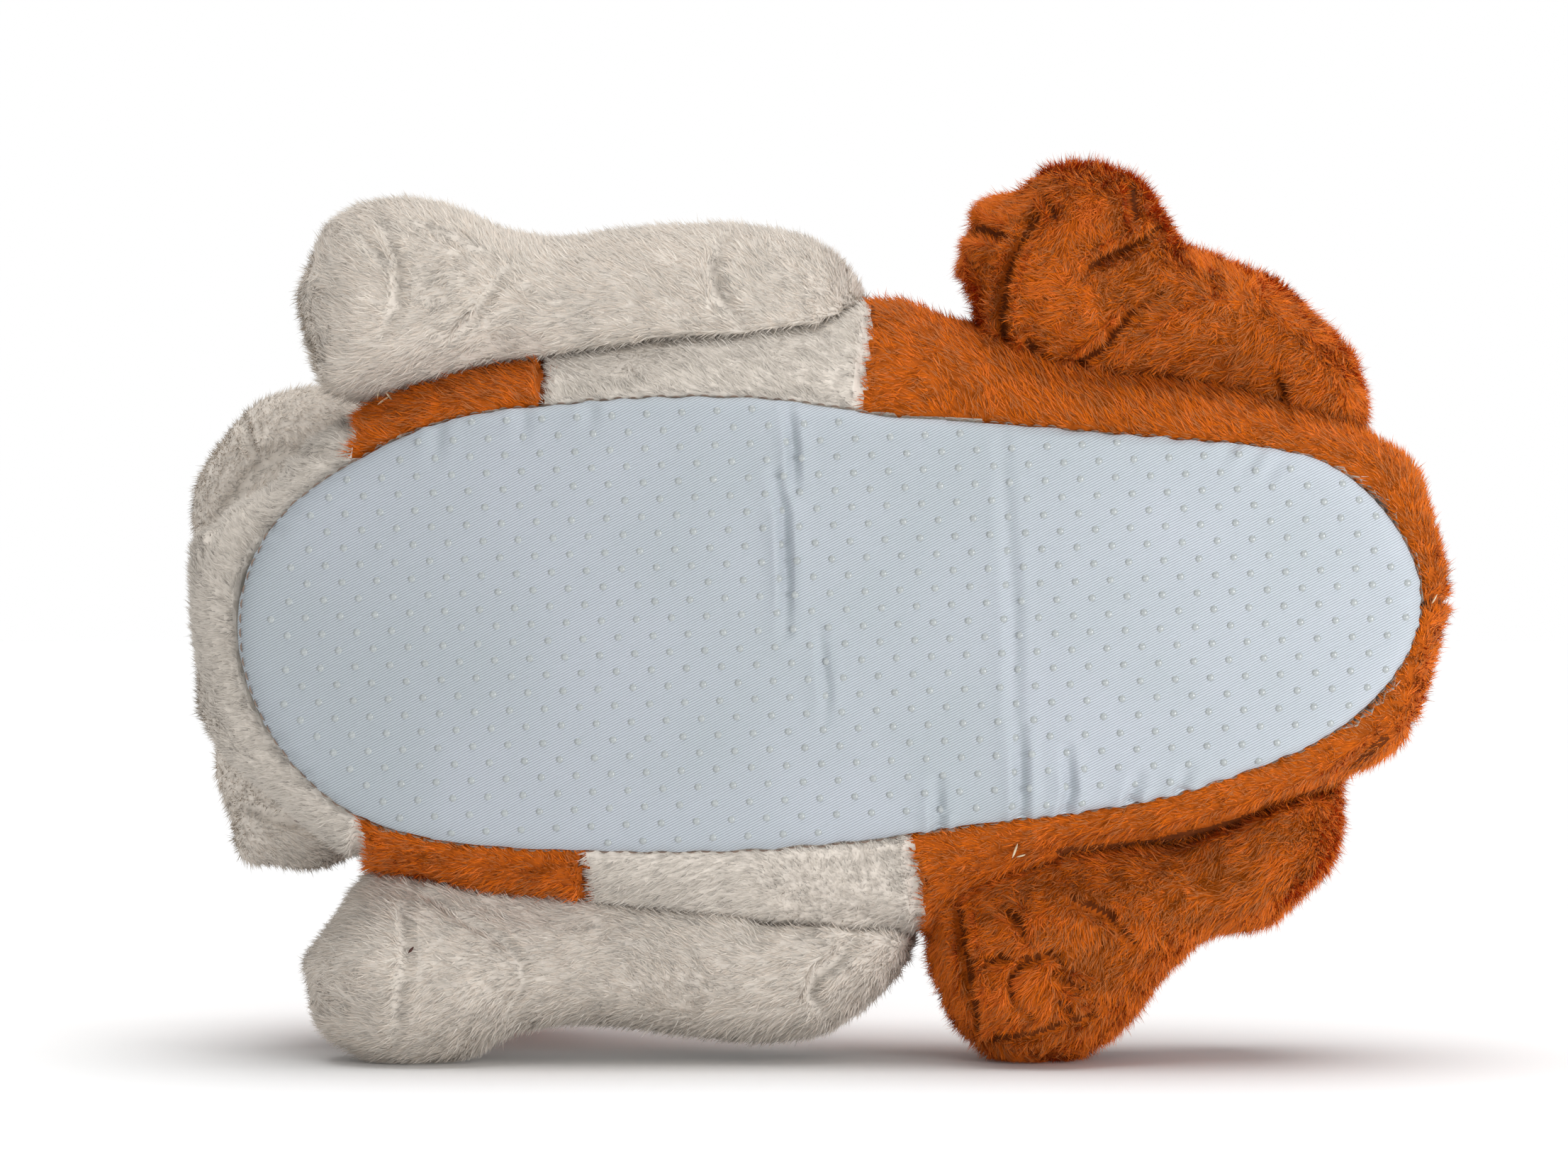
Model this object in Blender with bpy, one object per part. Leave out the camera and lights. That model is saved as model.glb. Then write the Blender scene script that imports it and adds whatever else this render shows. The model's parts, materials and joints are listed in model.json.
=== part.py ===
"""A plush animal slipper, built from separate pieces and laid on its right side.

The shoe is modelled in its own frame: toe at -X, heel at +X, the wearer's right at +Y
and the tread at Z = 0. An empty then turns the whole shoe onto its right side, so that
in the world +Y is the shoe's up and the floor is at Z = 0.
"""
import math
from collections import namedtuple

import bmesh
import bpy
import numpy as np
from mathutils import Vector

# Driving dimensions, in metres
SOLE_LENGTH = 0.279
BALL_WIDTH = 0.107
SOLE_THICKNESS = 0.014
SOLE_EDGE = 0.004
SEAM_HEIGHT = 0.006
SEAM_STEP = 0.002
TOE_SPRING = 0.004
ARCH_RISE = 0.0015
TURN_IN = 0.005
INSOLE_THICKNESS = 0.005
INSOLE_EDGE = 0.002
GAP = 0.0003

RIM_HEIGHT = 0.0045
RIM_BULGE = 0.012
BULGE_HEIGHT = 0.030
WALL = 0.008
INSTEP_HEIGHT = 0.090
SIDE_HEIGHT = 0.074
HEEL_HEIGHT = 0.078
COLLAR_LENGTH = 0.116
COLLAR_WIDTH = 0.076

PAW_WIDTH = 0.051
PAW_DEPTH = 0.052
LEG_LIFT = 0.005
FRONT_LEG_LENGTH = 0.140
HIND_LEG_LENGTH = 0.102
SHOULDER_RADIUS = 0.020
TOE_GROOVE = 0.003
TOE_WIDTH = 0.018

HEAD_LENGTH = 0.092
HEAD_WIDTH = 0.110
HEAD_HEIGHT = 0.076
MUZZLE_LENGTH = 0.082
MUZZLE_WIDTH = 0.121
MUZZLE_HEIGHT = 0.054
EAR_BREADTH = 0.048
EAR_THICKNESS = 0.017
EAR_DROP = 0.046
EAR_SWEEP = 0.018
EYE_WIDTH = 0.013
NOSE_WIDTH = 0.030
FLOOR_FLAT = 0.002

# Where the pieces stand along the sole, as shares of its length from the toe
COLLAR_AT = 0.722
HEAD_AT = 0.205
MUZZLE_AT = 0.085
ARCH_AT = 0.56
ARCH_SPAN = 0.30
SPRING_SPAN = 0.30

# How finely the forms are divided
OUTLINE_POINTS = 60
LOWER_RINGS = 4
DOME_RINGS = 6
LIP_RINGS = 3
LIMB_POINTS = 22
LIMB_RINGS = 15
EAR_POINTS = 16
EAR_RINGS = 11
STUFFED_STEPS = 4

# The last, from toe to heel. along is a share of SOLE_LENGTH; round and centre are shares
# of BALL_WIDTH; bulge_left and bulge_right are shares of RIM_BULGE.
Station = namedtuple("Station", "along round centre bulge_left bulge_right")
LAST = (
    Station(0.00, 0.700, 0.000, 1.00, 1.00),
    Station(0.09, 0.655, 0.024, 1.00, 1.00),
    Station(0.18, 0.606, 0.008, 1.00, 1.05),
    Station(0.27, 0.551, 0.000, 1.08, 1.12),
    Station(0.38, 0.517, -0.007, 1.40, 1.50),
    Station(0.48, 0.489, -0.006, 1.85, 1.95),
    Station(0.55, 0.467, 0.000, 2.40, 2.15),
    Station(0.62, 0.458, -0.009, 2.05, 1.50),
    Station(0.70, 0.462, -0.012, 1.50, 1.00),
    Station(0.78, 0.480, -0.020, 1.30, 1.10),
    Station(0.86, 0.512, -0.044, 1.10, 1.15),
    Station(0.93, 0.562, -0.062, 0.95, 1.05),
    Station(1.00, 0.555, -0.058, 0.75, 0.75),
)

# A leg, from the tip of its paw. along is a share of the leg's length; inner and outer are
# shares of PAW_WIDTH out from half the ball width; low and high are shares of PAW_DEPTH.
Section = namedtuple("Section", "along inner outer low high")
FRONT_LEG = (
    Section(0.00, 0.00, 1.00, 0.00, 1.00),
    Section(0.18, 0.00, 1.00, 0.00, 1.00),
    Section(0.27, 0.05, 0.95, 0.03, 0.98),
    Section(0.35, 0.08, 0.82, 0.12, 0.97),
    Section(0.46, 0.06, 0.79, 0.13, 1.00),
    Section(0.60, 0.02, 0.83, 0.12, 1.04),
    Section(0.76, 0.00, 0.87, 0.12, 1.08),
    Section(0.89, 0.02, 0.82, 0.14, 1.08),
    Section(1.00, 0.06, 0.72, 0.20, 1.04),
)
HIND_LEG = (
    Section(0.00, 0.16, 1.14, 0.00, 0.98),
    Section(0.26, 0.13, 1.17, 0.00, 1.00),
    Section(0.38, 0.11, 1.15, 0.02, 1.02),
    Section(0.47, 0.09, 1.04, 0.06, 1.06),
    Section(0.55, 0.06, 0.84, 0.10, 1.14),
    Section(0.63, 0.00, 0.73, 0.12, 1.22),
    Section(0.73, -0.08, 0.67, 0.13, 1.30),
    Section(0.83, -0.20, 0.59, 0.15, 1.32),
    Section(0.92, -0.33, 0.47, 0.17, 1.26),
    Section(1.00, -0.44, 0.34, 0.20, 1.16),
)

# The four legs. side is -1 for the wearer's left; at is a share of SOLE_LENGTH; spread
# and swing, how far out the paw and the shoulder stand, are shares of PAW_WIDTH.
Leg = namedtuple("Leg", "name sections length side at spread swing colour")
CREAM = (0.66, 0.58, 0.50)
BROWN = (0.42, 0.12, 0.022)
LEGS = (
    Leg("front_leg_left", FRONT_LEG, FRONT_LEG_LENGTH, -1, 0.043, 0.00, 0.00, CREAM),
    Leg("front_leg_right", FRONT_LEG, FRONT_LEG_LENGTH, 1, 0.056, 0.04, 0.08, CREAM),
    Leg("hind_leg_left", HIND_LEG, HIND_LEG_LENGTH, -1, 0.607, 0.00, 0.00, BROWN),
    Leg("hind_leg_right", HIND_LEG, HIND_LEG_LENGTH, 1, 0.585, -0.12, -0.24, BROWN),
)

# Swellings of the stuffed head and muzzle: places and radii as shares of the piece's own
# length, width and height. One with a side swells on both sides.
Swelling = namedtuple("Swelling", "back side up long wide tall")
HEAD_FORM = (
    Swelling(0.02, 0.00, 0.02, 0.47, 0.47, 0.46),
    Swelling(-0.10, 0.20, -0.16, 0.30, 0.28, 0.32),
    Swelling(-0.20, 0.13, 0.20, 0.17, 0.16, 0.17),
)
MUZZLE_FORM = (
    Swelling(0.10, 0.00, 0.06, 0.42, 0.34, 0.44),
    Swelling(-0.15, 0.27, -0.10, 0.36, 0.23, 0.40),
    Swelling(-0.12, 0.10, 0.20, 0.30, 0.16, 0.26),
)

# An ear, from its root. along is a share of its length, breadth and thick are shares of
# EAR_BREADTH and EAR_THICKNESS, sag of EAR_DROP and sweep of EAR_SWEEP.
Fold = namedtuple("Fold", "along breadth thick sag sweep")
EAR = (
    Fold(0.00, 0.66, 0.90, 0.00, 0.00),
    Fold(0.25, 0.80, 1.00, 0.06, 0.16),
    Fold(0.50, 0.96, 1.00, 0.26, 0.46),
    Fold(0.75, 1.00, 0.95, 0.62, 0.80),
    Fold(1.00, 0.88, 0.90, 1.00, 1.00),
)

# The two ears. reach is how far out the ear comes, as a share of the way to the floor.
Ear = namedtuple("Ear", "name side reach drop")
EARS = (
    Ear("ear_left", -1, 0.86, 1.15),
    Ear("ear_right", 1, 1.00, 1.00),
)

BALL_HALF = BALL_WIDTH / 2
FLOOR_REACH = BALL_HALF + PAW_WIDTH


def clear_scene():
    for thing in list(bpy.data.objects):
        bpy.data.objects.remove(thing, do_unlink=True)


def new_collection(name):
    made = bpy.data.collections.new(name)
    bpy.context.scene.collection.children.link(made)
    return made


def material(name, colour, roughness=0.9):
    made = bpy.data.materials.new(name)
    made.use_nodes = True
    shader = made.node_tree.nodes["Principled BSDF"]
    shader.inputs["Base Color"].default_value = (*colour, 1.0)
    shader.inputs["Roughness"].default_value = roughness
    shader.inputs["Metallic"].default_value = 0.0
    return made


def follow(table, column, at):
    """A smooth curve through one column of a table, read where its first column is at."""
    place = np.array([row[0] for row in table])
    value = np.array([getattr(row, column) for row in table])
    slope = np.gradient(value, place)
    left = int(np.clip(np.searchsorted(place, at) - 1, 0, len(place) - 2))
    step = place[left + 1] - place[left]
    t = min(max((at - place[left]) / step, 0.0), 1.0)
    rise = value[left + 1] - value[left]
    start = step * slope[left] - rise
    end = rise - step * slope[left + 1]
    return float(value[left] + t * rise + t * (1 - t) * ((1 - t) * start + t * end))


def share_along(x):
    return x / SOLE_LENGTH + 0.5


def place_along(share):
    return (share - 0.5) * SOLE_LENGTH


def tread_lift(x):
    """How far the toe spring and the arch lift the sole at x."""
    along = share_along(x)
    toe = max(0.0, 1 - along / SPRING_SPAN) ** 2
    arch = math.cos(math.pi * min(abs(along - ARCH_AT) / ARCH_SPAN, 0.5)) ** 2
    return TOE_SPRING * toe + ARCH_RISE * arch


def edge(angle):
    """The sole's outline: angle 0 is the toe's tip, and pi is the heel's."""
    x = -SOLE_LENGTH / 2 * math.cos(angle)
    along = share_along(x)
    y = follow(LAST, "centre", along) + math.sin(angle) * follow(LAST, "round", along)
    return Vector((x, BALL_WIDTH * y, 0.0))


def outline(angle, out):
    """The sole's outline moved outwards by out."""
    small = 0.01
    run = edge(angle + small) - edge(angle - small)
    return edge(angle) + out * Vector((-run.y, run.x, 0.0)).normalized()


def bulge(angle):
    """How far the padded side stands out from the sole's outline."""
    along = share_along(edge(angle).x)
    right = follow(LAST, "bulge_right", along)
    left = follow(LAST, "bulge_left", along)
    turn = 0.5 + 0.5 * math.sin(angle)
    return RIM_BULGE * (left + (right - left) * turn)


def collar(angle):
    """The collar's edge, highest at the instep and lowest at the sides."""
    ahead = math.cos(angle)
    high = INSTEP_HEIGHT if ahead > 0 else HEEL_HEIGHT
    x = place_along(COLLAR_AT) - COLLAR_LENGTH / 2 * ahead
    z = SIDE_HEIGHT + (high - SIDE_HEIGHT) * ahead**2
    centre = BALL_WIDTH * follow(LAST, "centre", share_along(x))
    return Vector((x, centre + COLLAR_WIDTH / 2 * math.sin(angle), z))


def fullness(angle):
    """The toe box rises more gently than the sides."""
    return 1.0 + 0.5 * max(0.0, math.cos(angle)) ** 2


def lifted(point, z):
    return Vector((point.x, point.y, z + tread_lift(point.x)))


def lower_wall(foot, side, turn):
    """Quarter round from the foot of a wall, flat outwards, up to its widest place."""
    level = foot.lerp(side, math.sin(turn))
    level.z = foot.z + (side.z - foot.z) * (1 - math.cos(turn))
    return level


def dome(side, top, angle, turn):
    """Quarter round from the widest place of a wall over to the collar."""
    level = side.lerp(top, 1 - math.cos(turn))
    level.z = side.z + (top.z - side.z) * math.sin(turn) ** fullness(angle)
    return level


def around(point_at):
    return [point_at(math.tau * i / OUTLINE_POINTS) for i in range(OUTLINE_POINTS)]


def quarter(count):
    """Turns that divide a quarter round into count parts, with the last at its end."""
    return [math.pi / 2 * (i + 1) / count for i in range(count)]


def outer_rings():
    """The upper's outer face, from the sole's edge to the collar."""

    def foot(angle):
        return lifted(outline(angle, GAP), RIM_HEIGHT)

    def side(angle):
        return lifted(outline(angle, bulge(angle)), BULGE_HEIGHT)

    rings = [around(foot)]
    for turn in quarter(LOWER_RINGS):
        rings.append(around(lambda a: lower_wall(foot(a), side(a), turn)))
    for turn in quarter(DOME_RINGS):
        rings.append(around(lambda a: dome(side(a), collar(a), a, turn)))
    return rings


def lip_rings():
    """The collar's rounded lip, half a turn from the outer face to the inner one."""
    rings = []
    middle = collar(math.pi / 2).lerp(collar(-math.pi / 2), 0.5)
    for i in range(1, LIP_RINGS + 1):
        turn = math.pi * i / (LIP_RINGS + 1)

        def lip(angle):
            top = collar(angle)
            inwards = (Vector((middle.x, middle.y, top.z)) - top).normalized()
            roll = inwards * math.sin(turn) - Vector((0, 0, 1 - math.cos(turn)))
            return top + WALL / 2 * roll

        rings.append(around(lip))
    return rings


def inner_rings():
    """The foot's space, from under the collar down to the insole."""

    def top(angle):
        return collar(angle) - Vector((0, 0, WALL))

    def side(angle):
        return lifted(outline(angle, 0.6 * (bulge(angle) - WALL)), BULGE_HEIGHT)

    def foot(angle):
        return lifted(outline(angle, -TURN_IN), SOLE_THICKNESS + GAP)

    rings = [around(top)]
    for turn in quarter(DOME_RINGS)[-2::-1]:
        rings.append(around(lambda a: dome(side(a), top(a), a, turn)))
    for turn in quarter(LOWER_RINGS)[::-1]:
        rings.append(around(lambda a: lower_wall(foot(a), side(a), turn)))
    rings.append(around(foot))
    return rings


def slab_ring(out, z):
    return around(lambda angle: lifted(outline(angle, out), z))


def pocket_rings():
    """The step underneath that the sole fits into."""
    return [
        slab_ring(GAP - SEAM_STEP, SOLE_THICKNESS + GAP),
        slab_ring(GAP - SEAM_STEP, SEAM_HEIGHT + GAP),
        slab_ring(GAP, SEAM_HEIGHT + GAP),
    ]


def skin(mesh_data, rings, closed=False, ladders=False):
    """Faces between rings of points, and across the first and last one."""
    verts = [[mesh_data.verts.new(point) for point in ring] for ring in rings]
    count = len(rings[0])
    pairs = list(zip(verts, verts[1:]))
    if closed:
        pairs.append((verts[-1], verts[0]))
    for low, high in pairs:
        for i in range(count):
            j = (i + 1) % count
            mesh_data.faces.new((low[i], low[j], high[j], high[i]))
    if ladders:
        for ring in (verts[0], verts[-1]):
            for i in range(count // 2):
                corners = (ring[i], ring[i + 1], ring[-i - 1], ring[-i % count])
                mesh_data.faces.new(tuple(dict.fromkeys(corners)))
    bmesh.ops.recalc_face_normals(mesh_data, faces=mesh_data.faces)


def add_piece(name, mesh_data, home, look=None):
    mesh = bpy.data.meshes.new(name)
    mesh_data.to_mesh(mesh)
    mesh_data.free()
    mesh.shade_smooth()
    mesh.set_sharp_from_angle(angle=math.radians(50))
    piece = bpy.data.objects.new(name, mesh)
    home.objects.link(piece)
    if look:
        mesh.materials.append(look)
    return piece


def loft(name, rings, home, look=None, **ends):
    mesh_data = bmesh.new()
    skin(mesh_data, rings, **ends)
    return add_piece(name, mesh_data, home, look)


def as_cutter(piece, home, grow):
    """A copy of a closed piece, grown all round, that cuts its neighbours."""
    mesh_data = bmesh.new()
    mesh_data.from_mesh(piece.data)
    mesh_data.normal_update()
    moves = [(vert, vert.co + grow * vert.normal) for vert in mesh_data.verts]
    for vert, place in moves:
        vert.co = place
    cutter = add_piece(piece.name + "_form", mesh_data, home)
    cutter.hide_render = True
    cutter.display_type = "WIRE"
    return cutter


def carve(piece, *cutters):
    for cutter in cutters:
        cut = piece.modifiers.new("seat on " + cutter.name, "BOOLEAN")
        cut.operation = "DIFFERENCE"
        cut.solver = "EXACT"
        cut.object = cutter


def make_sole(home):
    rings = []
    for turn in (0.0, math.pi / 6, math.pi / 3, math.pi / 2):
        out = -SOLE_EDGE * (1 - math.sin(turn))
        rings.append(slab_ring(out, SOLE_EDGE * (1 - math.cos(turn))))
    rings.append(slab_ring(0.0, SEAM_HEIGHT))
    rings.append(slab_ring(-SEAM_STEP, SEAM_HEIGHT))
    rings.append(slab_ring(-SEAM_STEP, SOLE_THICKNESS))
    look = material("sole cloth", (0.47, 0.52, 0.58), 0.75)
    return loft("sole", rings, home, look, ladders=True)


def make_insole(home):
    out = -TURN_IN - GAP
    low = SOLE_THICKNESS + GAP
    high = low + INSOLE_THICKNESS
    rings = [
        slab_ring(out, low),
        slab_ring(out, high - INSOLE_EDGE),
        slab_ring(out - INSOLE_EDGE * 0.4, high - INSOLE_EDGE * 0.4),
        slab_ring(out - INSOLE_EDGE * 1.5, high),
    ]
    return loft("insole", rings, home, material("footbed plush", CREAM), ladders=True)


def make_upper(home):
    rings = outer_rings() + lip_rings() + inner_rings() + pocket_rings()
    return loft("upper", rings, home, material("body plush", BROWN), closed=True)


def rounding(run, length, start, end):
    """The share of a limb's full section that its round ends leave at run."""
    near_start = max(0.0, 1 - run / start)
    near_end = max(0.0, 1 - (length - run) / end)
    return math.sqrt(max(0.0, 1 - near_start**2)) * math.sqrt(max(0.0, 1 - near_end**2))


def limb_ring(leg, run):
    """One section of a leg, run from the tip of its paw."""
    along = run / leg.length
    inner, outer, low, high = (
        follow(leg.sections, name, along) for name in ("inner", "outer", "low", "high")
    )
    scale = rounding(run, leg.length, PAW_WIDTH / 2, SHOULDER_RADIUS)
    out = leg.spread + (leg.swing - leg.spread) * along
    y = BALL_HALF + PAW_WIDTH * ((inner + outer) / 2 + out)
    z = LEG_LIFT + PAW_DEPTH * (low + high) / 2
    wide = PAW_WIDTH * (outer - inner) / 2 * scale
    deep = PAW_DEPTH * (high - low) / 2 * scale
    toes = max(0.0, 1 - 2 * run / PAW_WIDTH)
    ring = []
    for i in range(LIMB_POINTS):
        turn = math.tau * i / LIMB_POINTS
        across = wide * math.cos(turn)
        from_groove = (abs(across) - TOE_WIDTH / 2) / (TOE_WIDTH / 3)
        groove = TOE_GROOVE * toes * math.exp(-from_groove**2)
        x = place_along(leg.at) + run + groove
        ring.append(Vector((x, leg.side * (y + across), z + deep * math.sin(turn))))
    return ring


def make_leg(leg, home, upper_form):
    rings = []
    for i in range(LIMB_RINGS + 1):
        turn = math.pi * (0.035 + 0.93 * i / LIMB_RINGS)
        rings.append(limb_ring(leg, leg.length * (1 - math.cos(turn)) / 2))
    look = material(leg.name + " plush", leg.colour)
    piece = loft(leg.name, rings, home, look, ladders=True)
    carve(piece, upper_form)
    return piece


def swellings(form, size):
    """Centres and radii of a form's swellings, in metres."""
    found = []
    for row in form:
        for side in (-1, 1) if row.side else (1,):
            at = (row.back * size[0], side * row.side * size[1], row.up * size[2])
            found.append((at, (row.long * size[0], row.wide * size[1], row.tall * size[2])))
    return found


def stuffed_reach(lumps, heading):
    """How far a stuffed form reaches from its centre along a heading."""
    blend = 0.003
    reach = np.linspace(0.15, 0.0, 601)
    points = reach[:, None] * np.array(heading)
    total = np.zeros(len(reach))
    for at, radii in lumps:
        away = np.linalg.norm((points - np.array(at)) / np.array(radii), axis=1) - 1
        total += np.exp(-away * min(radii) / blend)
    inside = np.flatnonzero(total >= 1.0)[0]
    before, after = total[inside - 1], total[inside]
    part = (1.0 - before) / (after - before)
    return float(reach[inside - 1] + part * (reach[inside] - reach[inside - 1]))


def stuffed(name, centre, form, size, home, look):
    """A ball whose every point is moved out to the surface of its swellings."""
    mesh_data = bmesh.new()
    bmesh.ops.create_icosphere(mesh_data, subdivisions=STUFFED_STEPS, radius=1.0)
    lumps = swellings(form, size)
    for vert in mesh_data.verts:
        heading = vert.co.normalized()
        vert.co = centre + heading * stuffed_reach(lumps, heading)
    return add_piece(name, mesh_data, home, look)


def ridge_height(x):
    """The height of the upper's middle line over the toes."""
    side = lifted(outline(0.0, bulge(0.0)), BULGE_HEIGHT)
    top = collar(0.0)
    share = min(max((x - side.x) / (top.x - side.x), 0.0), 1.0)
    return side.z + (top.z - side.z) * math.sin(math.acos(1 - share)) ** fullness(0.0)


def head_centre():
    x = place_along(HEAD_AT)
    return Vector((x, 0.0, ridge_height(x) + 0.30 * HEAD_HEIGHT))


def muzzle_centre():
    x = place_along(MUZZLE_AT)
    return Vector((x, 0.0, ridge_height(x) + 0.22 * MUZZLE_HEIGHT))


def on_surface(centre, form, size, heading, sink):
    """A point on a stuffed form, sunk a little, and its heading from the centre."""
    heading = Vector(heading).normalized()
    return centre + heading * (stuffed_reach(swellings(form, size), heading) - sink)


def make_ear(ear, home):
    """A padded flap that droops from the head's side as far out as the paws."""
    root = head_centre() + Vector((0.0, 0.30 * HEAD_WIDTH, 0.30 * HEAD_HEIGHT))
    length = (FLOOR_REACH + FLOOR_FLAT - root.y) * ear.reach
    rings = []
    for i in range(EAR_RINGS + 1):
        turn = math.pi * (0.03 + 0.94 * i / EAR_RINGS)
        along = (1 - math.cos(turn)) / 2
        scale = rounding(along * length, length, EAR_THICKNESS, EAR_BREADTH / 2)
        broad = EAR_BREADTH / 2 * follow(EAR, "breadth", along) * scale
        thick = EAR_THICKNESS / 2 * follow(EAR, "thick", along) * math.sqrt(scale)
        x = root.x - EAR_SWEEP * follow(EAR, "sweep", along)
        z = root.z - EAR_DROP * ear.drop * follow(EAR, "sag", along)
        ring = []
        for k in range(EAR_POINTS):
            swing = math.tau * k / EAR_POINTS
            spot = (x + broad * math.cos(swing), root.y + along * length)
            ring.append(Vector((spot[0], ear.side * spot[1], z + thick * math.sin(swing))))
        rings.append(ring)
    look = material(ear.name + " plush", BROWN)
    return loft(ear.name, rings, home, look, ladders=True)


def make_button(name, centre, radii, home, look):
    mesh_data = bmesh.new()
    bmesh.ops.create_uvsphere(mesh_data, u_segments=16, v_segments=10, radius=1.0)
    for vert in mesh_data.verts:
        vert.co = centre + Vector(a * b for a, b in zip(vert.co, radii))
    return add_piece(name, mesh_data, home, look)


def make_floor(home):
    """A block beyond the floor, which leaves flat spots on what rests."""
    mesh_data = bmesh.new()
    bmesh.ops.create_cube(mesh_data, size=1.0)
    floor = add_piece("floor_form", mesh_data, home)
    floor.scale = (2 * SOLE_LENGTH, SOLE_LENGTH, 2 * SOLE_LENGTH)
    floor.location = (0.0, FLOOR_REACH + SOLE_LENGTH / 2, 0.0)
    floor.hide_render = True
    floor.display_type = "WIRE"
    return floor


def lay_down(pieces, cutters):
    """Turns the shoe onto its right side, with the origin under the middle of its box."""
    shoe = bpy.data.objects.new("shoe", None)
    bpy.context.scene.collection.objects.link(shoe)
    shoe.rotation_euler = (-math.pi / 2, 0.0, 0.0)
    for piece in (*pieces.objects, *cutters.objects):
        piece.parent = shoe
    bpy.context.view_layer.update()
    graph = bpy.context.evaluated_depsgraph_get()
    corners = []
    for piece in pieces.objects:
        whole = piece.evaluated_get(graph)
        corners += [whole.matrix_world @ Vector(corner) for corner in whole.bound_box]
    spread = np.array(corners)
    middle = (spread.min(axis=0) + spread.max(axis=0)) / 2
    shoe.location = (-middle[0], -middle[1], FLOOR_REACH)
    bpy.context.view_layer.update()


def build():
    clear_scene()
    pieces = new_collection("animal_slipper")
    cutters = new_collection("cutters")

    make_sole(pieces)
    make_insole(pieces)
    make_upper(pieces)
    form = loft("upper", outer_rings(), cutters, ladders=True)
    upper_form = as_cutter(form, cutters, GAP)
    bpy.data.objects.remove(form)
    floor_form = make_floor(cutters)

    for leg in LEGS:
        piece = make_leg(leg, pieces, upper_form)
        if leg.side > 0:
            carve(piece, floor_form)

    head_size = (HEAD_LENGTH, HEAD_WIDTH, HEAD_HEIGHT)
    muzzle_size = (MUZZLE_LENGTH, MUZZLE_WIDTH, MUZZLE_HEIGHT)
    brown = material("head plush", BROWN)
    cream = material("muzzle plush", CREAM)
    dark = material("nose and eyes", (0.012, 0.010, 0.010), 0.25)
    head = stuffed("head", head_centre(), HEAD_FORM, head_size, pieces, brown)
    muzzle = stuffed("muzzle", muzzle_centre(), MUZZLE_FORM, muzzle_size, pieces, cream)
    head_form = as_cutter(head, cutters, GAP)
    muzzle_form = as_cutter(muzzle, cutters, GAP)
    carve(head, upper_form)
    carve(muzzle, upper_form, head_form)

    for ear in EARS:
        piece = make_ear(ear, pieces)
        carve(piece, head_form)
        if ear.side > 0:
            carve(piece, floor_form)
    for name, side in (("eye_left", -1), ("eye_right", 1)):
        heading = (-0.76, 0.40 * side, 0.50)
        at = on_surface(head_centre(), HEAD_FORM, head_size, heading, EYE_WIDTH / 12)
        radii = [EYE_WIDTH * share for share in (0.40, 0.50, 0.50)]
        carve(make_button(name, at, radii, pieces, dark), head_form)

    at = on_surface(muzzle_centre(), MUZZLE_FORM, muzzle_size, (-0.86, 0.0, 0.52), NOSE_WIDTH / 10)
    radii = [NOSE_WIDTH * share for share in (0.30, 0.50, 0.34)]
    carve(make_button("nose", at, radii, pieces, dark), muzzle_form)

    lay_down(pieces, cutters)


build()
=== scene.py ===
"""Looks of a plush animal slipper that lies on its side and shows its sole.

The frame gives every solid at its real place: X runs from toe to heel, -Y is the side the sole faces
and Z is up, so the wearer's left is up.
Skins follow the solids, seams and folds are pressed into them, and short pile grows on them.
"""

import json
import math
from collections import namedtuple

import bmesh
import bpy
import numpy as np
from bpy.props import FloatProperty, FloatVectorProperty, IntProperty, PointerProperty
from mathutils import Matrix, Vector
from mathutils.bvhtree import BVHTree

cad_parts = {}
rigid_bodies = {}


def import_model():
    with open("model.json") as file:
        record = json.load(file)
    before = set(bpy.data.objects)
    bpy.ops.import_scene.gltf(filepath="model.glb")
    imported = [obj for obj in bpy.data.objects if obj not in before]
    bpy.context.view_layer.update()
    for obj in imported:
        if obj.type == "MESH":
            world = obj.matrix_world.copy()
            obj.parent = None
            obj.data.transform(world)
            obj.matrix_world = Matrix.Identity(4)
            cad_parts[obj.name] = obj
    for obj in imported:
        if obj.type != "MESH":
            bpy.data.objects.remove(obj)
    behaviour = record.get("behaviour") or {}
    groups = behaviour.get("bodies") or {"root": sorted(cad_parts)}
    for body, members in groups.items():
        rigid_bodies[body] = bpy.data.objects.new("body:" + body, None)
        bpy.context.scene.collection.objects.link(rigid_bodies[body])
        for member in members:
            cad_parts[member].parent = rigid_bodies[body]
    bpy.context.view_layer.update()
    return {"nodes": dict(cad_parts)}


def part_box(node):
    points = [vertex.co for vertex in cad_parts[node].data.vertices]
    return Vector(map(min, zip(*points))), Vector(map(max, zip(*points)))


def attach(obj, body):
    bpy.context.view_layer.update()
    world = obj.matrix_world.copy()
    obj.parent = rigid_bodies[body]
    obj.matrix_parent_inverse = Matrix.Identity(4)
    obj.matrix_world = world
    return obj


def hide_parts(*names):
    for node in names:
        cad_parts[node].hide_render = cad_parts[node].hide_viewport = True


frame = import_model()

bl_info = {
    "name": "Plush animal slipper",
    "version": (1, 0, 0),
    "blender": (4, 5, 0),
    "location": "View3D > Sidebar > Slipper",
    "description": "Dresses the slipper's solids in plush, anti-slip cloth, seams and trims",
    "category": "Object",
}

MM = 0.001
SOLE_LOW, SOLE_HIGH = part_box("sole")
TREAD = SOLE_LOW.y
MID_LENGTH = (SOLE_LOW.x + SOLE_HIGH.x) / 2
MID_WIDTH = 0.1045
SEEN_SIDE = np.array([0.0, -1.0, 0.0])

# The eye that sees the slipper as the photograph does: its place in X and Z, and how far it stands
# from the tread.
EYE = (-0.0060, 0.1137)
EYE_DISTANCE = 1.0

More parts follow.
